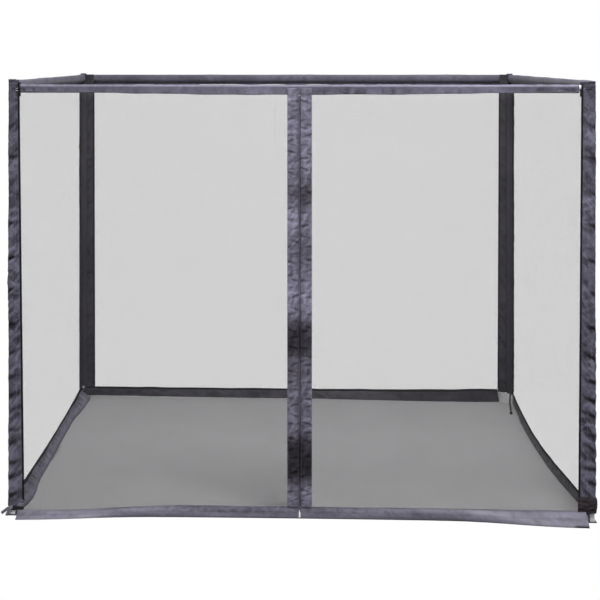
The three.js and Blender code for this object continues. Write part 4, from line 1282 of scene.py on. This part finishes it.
def cord(name, pts, r, mat, sub=8, sides=10):
    pts = np.asarray(pts, float)
    q = np.linspace(0, len(pts) - 1, (len(pts) - 1) * sub + 1)
    out = []
    for x in q:
        i = min(int(x), len(pts) - 2)
        f = x - i
        p0, p1, p2, p3 = pts[max(i - 1, 0)], pts[i], pts[i + 1], pts[min(i + 2, len(pts) - 1)]
        out.append(0.5 * (2 * p1 + (p2 - p0) * f + (2 * p0 - 5 * p1 + 4 * p2 - p3) * f * f
                          + (3 * p1 - p0 - 3 * p2 + p3) * f ** 3))
    c = np.array(out)
    D = np.gradient(c, axis=0)
    D /= np.maximum(np.linalg.norm(D, axis=1, keepdims=True), 1e-9)
    ref = np.array([0.13, 0.29, 0.95])
    A = np.cross(D, ref)
    A /= np.maximum(np.linalg.norm(A, axis=1, keepdims=True), 1e-9)
    B_ = np.cross(D, A)
    ang = np.linspace(0, 2 * math.pi, sides, endpoint=False)
    ring = c[:, None] + r * (np.cos(ang)[None, :, None] * A[:, None] + np.sin(ang)[None, :, None] * B_[:, None])
    n, m = len(c), sides
    verts = np.concatenate([ring.reshape(-1, 3), c[:1] - D[:1] * r * 0.5, c[-1:] + D[-1:] * r * 0.5])
    faces = []
    for i in range(n - 1):
        for j in range(m):
            a, b = i * m + j, i * m + (j + 1) % m
            faces.append([a, a + m, b + m, b])
    tri = []
    for j in range(m):
        tri.append([n * m, j, (j + 1) % m])
        tri.append([n * m + 1, (n - 1) * m + (j + 1) % m, (n - 1) * m + j])
    me = bpy.data.meshes.new(name)
    me.from_pydata(verts.tolist(), [], faces + tri)
    me.update()
    for p in me.polygons:
        p.use_smooth = True
    me.materials.append(mat)
    obj = bpy.data.objects.new(name, me)
    bpy.context.scene.collection.objects.link(obj)
    return obj


CORD = webbing_material("cord", (0.02, 0.02, 0.022))


def strap(key, sx, sy):
    lo, hi = box("corner_strap_" + key)
    legb = box("leg_lower_" + key)
    zc = float(lo[2] + hi[2]) / 2 + (0.020 if key == "fr" else 0.0)
    wdt = float(hi[2] - lo[2]) * 0.92
    h = float(legb[1][0] - legb[0][0]) / 2 + 0.0020
    r = 0.004
    ring, nr = [], []
    for q in range(4):
        base = math.radians(45 + 90 * q)
        for da in (-40, -20, 0, 20, 40):
            a = base + math.radians(da)
            cxr = (h - r) * (1 if math.cos(base) > 0 else -1)
            cyr = (h - r) * (1 if math.sin(base) > 0 else -1)
            ring.append([sx * (C + cxr + r * math.cos(a)), sy * (C + cyr + r * math.sin(a)), zc])
            nr.append([sx * math.cos(a), sy * math.sin(a), 0])
    n = len(ring)
    ring, nr = np.array(ring), np.array(nr)
    wob = 0.0012 * np.sin(np.arange(n) * 1.7)
    ring[:, 2] += wob
    v = np.linspace(-1, 1, 7)
    P = ring[:, None] + np.array([0, 0, 1.0])[None, None] * (v[None, :, None] * wdt / 2)
    # closed loop made of a wrapped grid: outer and inner skins joined at the two rims
    t = 0.0016
    a = P + nr[:, None] * t
    b = P + nr[:, None] * 0
    V = np.concatenate([a.reshape(-1, 3), b.reshape(-1, 3)])
    m = 7
    idx = np.arange(n * m).reshape(n, m)
    nx_ = np.roll(idx, -1, 0)
    q1 = np.stack([idx[:, :-1], nx_[:, :-1], nx_[:, 1:], idx[:, 1:]], -1).reshape(-1, 4)
    q2 = q1[:, ::-1] + n * m
    e0 = np.stack([idx[:, 0], idx[:, 0] + n * m, nx_[:, 0] + n * m, nx_[:, 0]], -1)
    e1 = np.stack([idx[:, -1], nx_[:, -1], nx_[:, -1] + n * m, idx[:, -1] + n * m], -1)
    F = np.concatenate([q1, q2, e0, e1])
    if sx * sy < 0:
        F = F[:, ::-1]
    L = np.arange(n) * 0.006
    uu, vv = np.meshgrid(L, v * wdt / 2, indexing="ij")
    uv = np.stack([uu, vv], -1).reshape(-1, 2)
    loop = mesh_object("strap_loop_" + key, V, F, np.concatenate([uv, uv]), [WEB])
    done(loop, "frame", "webbing", "corner_strap_" + key)
    # the tail: along the front of the leg and inwards
    y0 = sy * (C + h + t + 0.0016)
    big = 1.0 if key == "fr" else 0.0
    x_in = C - 0.014
    pts = [[sx * (C + 0.012), y0, zc], [sx * (C - 0.004), y0 + sy * 0.001, zc + 0.001],
           [sx * (x_in - 0.014), y0 + sy * 0.006, zc + 0.002 + 0.010 * big],
           [sx * (x_in - 0.034 - 0.02 * big), y0 + sy * 0.008, zc - 0.002 + 0.016 * big],
           [sx * (x_in - 0.050 - 0.03 * big), y0 + sy * (0.004 + 0.006 * big), zc - 0.008 + 0.020 * big]]
    nrm = [[0, sy, 0], [0, sy, 0], [-0.1 * sx, sy, 0.3], [0.1 * sx, sy, 0.4], [-0.3 * sx, sy, 0.2]]
    # at the front left the tail lies flat and wide across the front of the leg, a near-black strip that also stands for
    # the shadow under the sleeve
    if key == "fl":
        y1 = -(C + h + 0.0012)
        pts = [[-(C + 0.014), y0, zc + 0.003], [-(C - 0.006), y0, zc + 0.004], [-(C - 0.026), y1, zc + 0.004], [-(C - 0.044), y1, zc + 0.003], [-(C - 0.060), y1, zc + 0.002]]
        nrm = [[0, -1, 0]] * 5
        wdt = wdt * 1.1
    if key == "fr":
        pts = [[C + 0.012, y0, zc], [C - 0.002, y0 - 0.001, zc], [C - 0.014, y0 - 0.003, zc - 0.001], [C - 0.022, y0 - 0.004, zc - 0.003], [C - 0.028, y0 - 0.004, zc - 0.006]]
    tail = ribbon("strap_tail_" + key, pts, nrm, wdt, 0.0015, WEB, 8)
    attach(tail, "frame")


for _k, (_sx, _sy) in CORNERS.items():
    strap(_k, _sx, _sy)


# a wide black tie wound round the foot of the front right sleeve
def wound_tie():
    n_s, n_v = 90, 22
    s_ = np.linspace(0, 1, n_s)
    v = np.linspace(0, 1, n_v)
    S_, V_ = np.meshgrid(s_, v, indexing="ij")
    w = float(wing_at("fr", 0.1)) + 0.004
    run = -w + (w + 0.056) * S_                    # along the front, then round the corner
    z0, z1 = SLEEVE_Z0 - 0.003, SLEEVE_Z0 + 0.078
    Z = z0 + (z1 - z0) * V_ + 0.006 * (S_ - 0.5) * (1 - 2 * V_) + 0.0025 * vnoise(S_ * 9, V_ * 0 + 3, 611)
    r = 0.007
    arc_ = np.clip(run + r * 0.8, 0, r * math.pi / 2)
    ang = arc_ / r
    X = EDGE - r + np.minimum(run + r * 0.8, 0) + r * np.sin(ang)
    Y = -(EDGE - r + r * np.cos(ang)) + np.maximum(run + r * 0.8 - r * math.pi / 2, 0)
    k = crease(V_ * 3.4 + S_ * 1.1, S_ * 1.6, 613, 2, 1.7)
    k2 = crease(V_ * 7.0 - S_ * 1.4, S_ * 3.0, 617, 2, 1.5)
    d = 0.0042 + 0.0052 * k + 0.0022 * k2
    d = d * (0.45 + 0.55 * np.sin(np.pi * np.clip(V_, 0, 1)) ** 0.5)
    P = np.stack([X + np.sin(ang) * d, Y - np.cos(ang) * d, Z], -1)
    shade_ = hollow_shade(d, 4, 2, 0.45)
    obj = sheet("sleeve_tie_fr", P, 0.0016, (0.3, -1, 0), [TIE], uv=np.stack([S_ * 0.12, V_ * 0.07], -1), shade=shade_)
    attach(obj, "frame")


CLOTH_TIE = cloth_material("oxford_tie_end", (0.098, 0.096, 0.112), spec=0.2, wrinkle=0.6, mottle=0.3)
TIE = cloth_material("black_tie", (0.017, 0.013, 0.015), rough=0.6, sheen=0.0, spec=0.14, wrinkle=0.5)
wound_tie()

# loose cloth ends of the front left tie
for _n, _w, _pts in (("sleeve_tie_end_fl", 0.015, [(0, -0.0035, -0.004), (-0.016, -0.008, -0.008), (-0.034, -0.015, -0.020), (-0.050, -0.018, -0.032)]),
                     ("sleeve_tie_end_fl_b", 0.012, [(0.004, -0.0055, -0.002), (-0.006, -0.012, -0.010), (-0.018, -0.020, -0.026), (-0.024, -0.026, -0.042)])):
    _e = ribbon(_n, [[-C + q_[0], -EDGE + q_[1], SLEEVE_Z0 + q_[2]] for q_ in _pts],
                [[0, -1, 0.1], [0.15, -1, 0.3], [0.3, -0.9, 0.35], [0.35, -0.8, 0.5]], _w, 0.0014, CLOTH_TIE, 10)
    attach(_e, "frame")

# cord hanging beside the front right leg
_e = cord("tie_cord_fr", [[C - 0.015, -C - 0.0215, 0.066], [C - 0.0165, -C - 0.0225, 0.045], [C - 0.0150, -C - 0.0215, 0.025], [C - 0.0155, -C - 0.0260, 0.0075]],
          0.0032, CORD)
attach(_e, "frame")


# inside facing that closes each corner of the front and rear bands
def facing(key, sx, sy):
    wall = "front" if sy < 0 else "rear"
    n_u, n_v = 34, 26
    U, V_ = np.meshgrid(np.linspace(0, 1, n_u), np.linspace(0, 1, n_v), indexing="ij")
    x0 = EDGE - float(wing_at(key, BAND_Z0[wall])) - 0.002
    x1 = EDGE - 0.0025
    z0, z1 = BAND_Z0[wall] - 0.010, TOP - 0.0035 + (0.020 if sy > 0 else 0.0)
    X = x0 + (x1 - x0) * U
    Z = z0 + (z1 - z0) * V_
    near = smooth((X - (EDGE - 0.045)) / 0.010)
    d = (0.0012 + 0.0022 * crease(X / 0.03, Z / 0.05, 641, 2, 1.8)) * (1 - near) + 0.0004
    Y = sy * (C - 0.0168 - d)
    obj = sheet("corner_facing_" + key, np.stack([X * sx, Y + 0 * X, Z], -1), 0.0010, (0, -sy, 0), [CLOTH_IN_SHADED], uv=np.stack([X, Z], -1),
                shade=0.75 + 0.15 * vnoise(X / 0.03, Z / 0.02, 645))
    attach(obj, "frame")


for _k, (_sx, _sy) in CORNERS.items():
    facing(_k, _sx, _sy)


def ring_mesh(name, centre, axis, R, r, mat, seg=28, tube=12, squash=1.0):
    """A closed metal ring round an axis."""
    c = np.asarray(centre, float)
    w = np.asarray(axis, float)
    w /= np.linalg.norm(w)
    a = np.cross(w, [0.3, 0.2, 0.9])
    a /= np.linalg.norm(a)
    b = np.cross(w, a)
    th = np.linspace(0, 2 * math.pi, seg, endpoint=False)
    ph = np.linspace(0, 2 * math.pi, tube, endpoint=False)
    T_, H_ = np.meshgrid(th, ph, indexing="ij")
    rad = R + r * np.cos(H_)
    V = (c + rad[..., None] * (np.cos(T_)[..., None] * a + np.sin(T_)[..., None] * b)
         + (r * squash * np.sin(H_))[..., None] * w).reshape(-1, 3)
    idx = np.arange(seg * tube).reshape(seg, tube)
    F = np.stack([idx, np.roll(idx, -1, 0), np.roll(np.roll(idx, -1, 0), -1, 1), np.roll(idx, -1, 1)], -1).reshape(-1, 4)
    return mesh_object(name, V, F, None, [mat])


# metal eyelets at the foot of each sleeve but the rear right one, inside, where the tie cord is threaded
for _k, (_sx, _sy) in CORNERS.items():
    if _k == "rr":
        continue
    _at = (_sx * (EDGE - 0.062), _sy * (EDGE - 0.0080), 0.094)
    if _k == "rl":
        _at = (_sx * (EDGE - 0.021), _sy * (EDGE - 0.0375 - 0.0062), 0.066)
    _o = ring_mesh("sleeve_eyelet_" + _k, _at, (0, _sy, 0), 0.0068, 0.0021, STEEL, squash=0.6)
    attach(_o, "frame")

# cord with a knot hanging from the rear right sleeve
_x, _y = EDGE - 0.010, EDGE - 0.080
_o = cord("tie_cord_rr", [[_x, _y, 0.120], [_x - 0.004, _y - 0.007, 0.090], [_x - 0.013, _y - 0.020, 0.056], [_x - 0.020, _y - 0.044, 0.029],
                          [_x - 0.025, _y - 0.078, 0.0140], [_x - 0.033, _y - 0.150, 0.0100], [_x - 0.043, _y - 0.240, 0.0095],
                          [_x - 0.054, _y - 0.340, 0.0100], [_x - 0.061, _y - 0.395, 0.0095]], 0.0056, CORD)
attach(_o, "frame")
_o = ring_mesh("tie_cord_knot_rr", (_x - 0.062, _y - 0.401, 0.0115), (0.2, 0.9, 0.1), 0.0052, 0.0050, CORD, 20, 12)
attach(_o, "frame")

# short cords that tie the front band's end rings to the sleeves
for _s, _sx in (("left", -1), ("right", 1)):
    _rb = box("band_ring_" + _s)
    _rc = (_rb[0] + _rb[1]) / 2
    _xe = _sx * (EDGE - 0.030)
    _o = cord("band_cord_" + _s, [[_rc[0] - _sx * 0.002, _rc[1] - 0.003, _rc[2] + 0.004], [_rc[0] + _sx * 0.010, -EDGE - 0.0035, _rc[2] + 0.009],
                                  [_xe, -EDGE - 0.0040, _rc[2] + 0.010], [_xe + _sx * 0.012, -EDGE - 0.0030, _rc[2] + 0.006]], 0.0016, CORD)
    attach(_o, "frame")


# copies of the hard CAD parts with softened edges
def bevelled(node, mats, body, width=0.0006, pick=None):
    import bmesh
    src = NODES[node]
    me = src.data.copy()
    me.name = node + "_finish"
    me.materials.clear()
    obj = bpy.data.objects.new(node + "_finish", me)
    bpy.context.scene.collection.objects.link(obj)
    bm = bmesh.new()
    bm.from_mesh(me)
    bmesh.ops.remove_doubles(bm, verts=bm.verts, dist=1e-6)
    bmesh.ops.dissolve_limit(bm, angle_limit=math.radians(1.0), verts=bm.verts, edges=bm.edges)
    bm.to_mesh(me)
    bm.free()
    mod = obj.modifiers.new("bevel", "BEVEL")
    mod.width = width
    mod.segments = 2
    mod.limit_method = "ANGLE"
    mod.angle_limit = math.radians(38)
    dg = bpy.context.evaluated_depsgraph_get()
    new = bpy.data.meshes.new_from_object(obj.evaluated_get(dg))
    obj.modifiers.clear()
    obj.data = new
    for m in mats:
        new.materials.append(m)
    for p in new.polygons:
        p.use_smooth = False
        p.material_index = int(pick(p.center)) if pick else 0
    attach(obj, body)
    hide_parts(node)
    return obj


def paint(node, mat):
    o = NODES[node]
    o.data.materials.clear()
    o.data.materials.append(mat)


for _k in CORNERS:
    for n_, m_ in (("leg_upper_", STEEL), ("leg_lower_", STEEL), ("snap_button_", METAL)):
        paint(n_ + _k, m_)
    _plate = box("foot_" + _k)[0][2] + 0.0046
    bevelled("foot_" + _k, [PLAST, STEEL], "leg_extension_" + _k, 0.0007, lambda c_: c_[2] > _plate)
    bevelled("corner_joint_" + _k, [PLAST], "frame", 0.0009)
for _w in OUT:
    for n_ in ("_a", "_b"):
        paint("top_rail_" + _w + n_, STEEL)
NICKEL = metal_material("bright_nickel", (0.80, 0.80, 0.81), 0.30, 0.55)
for n_ in ("band_ring_left", "band_ring_right", "zip_pull_outer", "zip_pull_inner"):
    paint(n_, NICKEL)
paint("zip_slider", PLAST)


# ------------------------------------------------------------------ stitching
for _body, _items in STITCH.items():
    P_ = np.concatenate([i[0] for i in _items])
    D_ = np.concatenate([i[1] for i in _items])
    N_ = np.concatenate([i[2] for i in _items])
    st = dashes("stitching_" + _body, P_, D_, N_, 0.0042, 0.0009, 0.00045, THREAD)
    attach(st, _body)


# ------------------------------------------------------------------ stage, light, camera
def stage():
    me = bpy.data.meshes.new("floor")
    s = 60.0
    me.from_pydata([(-s, -s, -0.0005), (s, -s, -0.0005), (s, s, -0.0005), (-s, s, -0.0005)], [], [(0, 1, 2, 3)])
    m, nt, bsdf, out = new_material("stage_floor")
    bsdf.inputs["Base Color"].default_value = (0.35, 0.35, 0.35, 1)
    bsdf.inputs["Roughness"].default_value = 0.9
    bsdf.inputs["Specular IOR Level"].default_value = 0.0
    lp = nt.nodes.new("ShaderNodeLightPath")
    em = nt.nodes.new("ShaderNodeEmission")
    em.inputs[0].default_value = (1, 1, 1, 1)
    mx = nt.nodes.new("ShaderNodeMixShader")
    nt.links.new(lp.outputs["Is Camera Ray"], mx.inputs[0])
    nt.links.new(bsdf.outputs[0], mx.inputs[1])
    nt.links.new(em.outputs[0], mx.inputs[2])
    nt.links.new(mx.outputs[0], out.inputs[0])
    me.materials.append(m)
    o = bpy.data.objects.new("stage_floor", me)
    bpy.context.scene.collection.objects.link(o)

    w = bpy.data.worlds.new("studio")
    bpy.context.scene.world = w
    w.use_nodes = True
    wt = w.node_tree
    bg = wt.nodes["Background"]
    wout = [n for n in wt.nodes if n.type == "OUTPUT_WORLD"][0]
    tc = wt.nodes.new("ShaderNodeTexCoord")
    sep = wt.nodes.new("ShaderNodeSeparateXYZ")
    wt.links.new(tc.outputs["Generated"], sep.inputs[0])
    sky = ramp(wt, math_node(wt, "ADD", math_node(wt, "MULTIPLY", sep.outputs[2], 0.5), 0.5),
               [(0.40, (0.10, 0.10, 0.10)), (0.52, (0.16, 0.16, 0.165)), (0.75, (0.62, 0.62, 0.64)), (1.0, (1.10, 1.10, 1.10))])
    wt.links.new(sky, bg.inputs[0])
    bg.inputs[1].default_value = 1.0
    white = wt.nodes.new("ShaderNodeBackground")
    white.inputs[0].default_value = (1, 1, 1, 1)
    wl = wt.nodes.new("ShaderNodeLightPath")
    wm = wt.nodes.new("ShaderNodeMixShader")
    wt.links.new(wl.outputs["Is Camera Ray"], wm.inputs[0])
    wt.links.new(bg.outputs[0], wm.inputs[1])
    wt.links.new(white.outputs[0], wm.inputs[2])
    wt.links.new(wm.outputs[0], wout.inputs[0])

    def area(name, loc, target, size, energy):
        l = bpy.data.lights.new(name, "AREA")
        l.energy = energy
        l.size = size
        l.shape = "SQUARE"
        ob = bpy.data.objects.new(name, l)
        from mathutils import Vector
        ob.location = loc
        ob.rotation_euler = (Vector(target) - Vector(loc)).to_track_quat("-Z", "Y").to_euler()
        bpy.context.scene.collection.objects.link(ob)
        return ob

    area("key", (0.9, -3.9, 7.0), (0, -1.0, 1.0), 2.0, 740)
    area("fill", (-4.5, -7.0, 3.5), (0, -1.4, 1.1), 3.0, 60)


stage()

CAM_LOC = (-0.0828, -9.5753, 2.29)
CAM_YAW = 0.0464
LENS = 96.477
SHIFT = (0.1526, -0.3938)

cd = bpy.data.cameras.new("camera")
cam = bpy.data.objects.new("camera", cd)
bpy.context.scene.collection.objects.link(cam)
cam.location = CAM_LOC
cam.rotation_euler = (math.pi / 2, 0, CAM_YAW)
stand = bpy.data.objects.new("camera_stand", None)
stand.location = CAM_LOC
bpy.context.scene.collection.objects.link(stand)
cd.sensor_width = 36
cd.lens = LENS
cd.clip_start, cd.clip_end = 0.1, 200


def shift_driver(prop, value):
    """Lens shift that holds only while the camera stands at its own place."""
    fc = cd.driver_add(prop)
    drv = fc.driver
    drv.type = "SUM"
    var = drv.variables.new()
    var.name = "away"
    var.type = "LOC_DIFF"
    var.targets[0].id = cam
    var.targets[1].id = stand
    for mod in list(fc.modifiers):
        fc.modifiers.remove(mod)
    for x, v in ((-1.0, value), (0.15, value), (0.40, 0), (2.0, 0)):
        k = fc.keyframe_points.insert(x, v)
        k.interpolation = "LINEAR"
    fc.extrapolation = "CONSTANT"


shift_driver("shift_x", SHIFT[0])
shift_driver("shift_y", SHIFT[1])
bpy.context.scene.camera = cam

sc = bpy.context.scene
sc.view_settings.view_transform = "Standard"
sc.view_settings.look = "None"
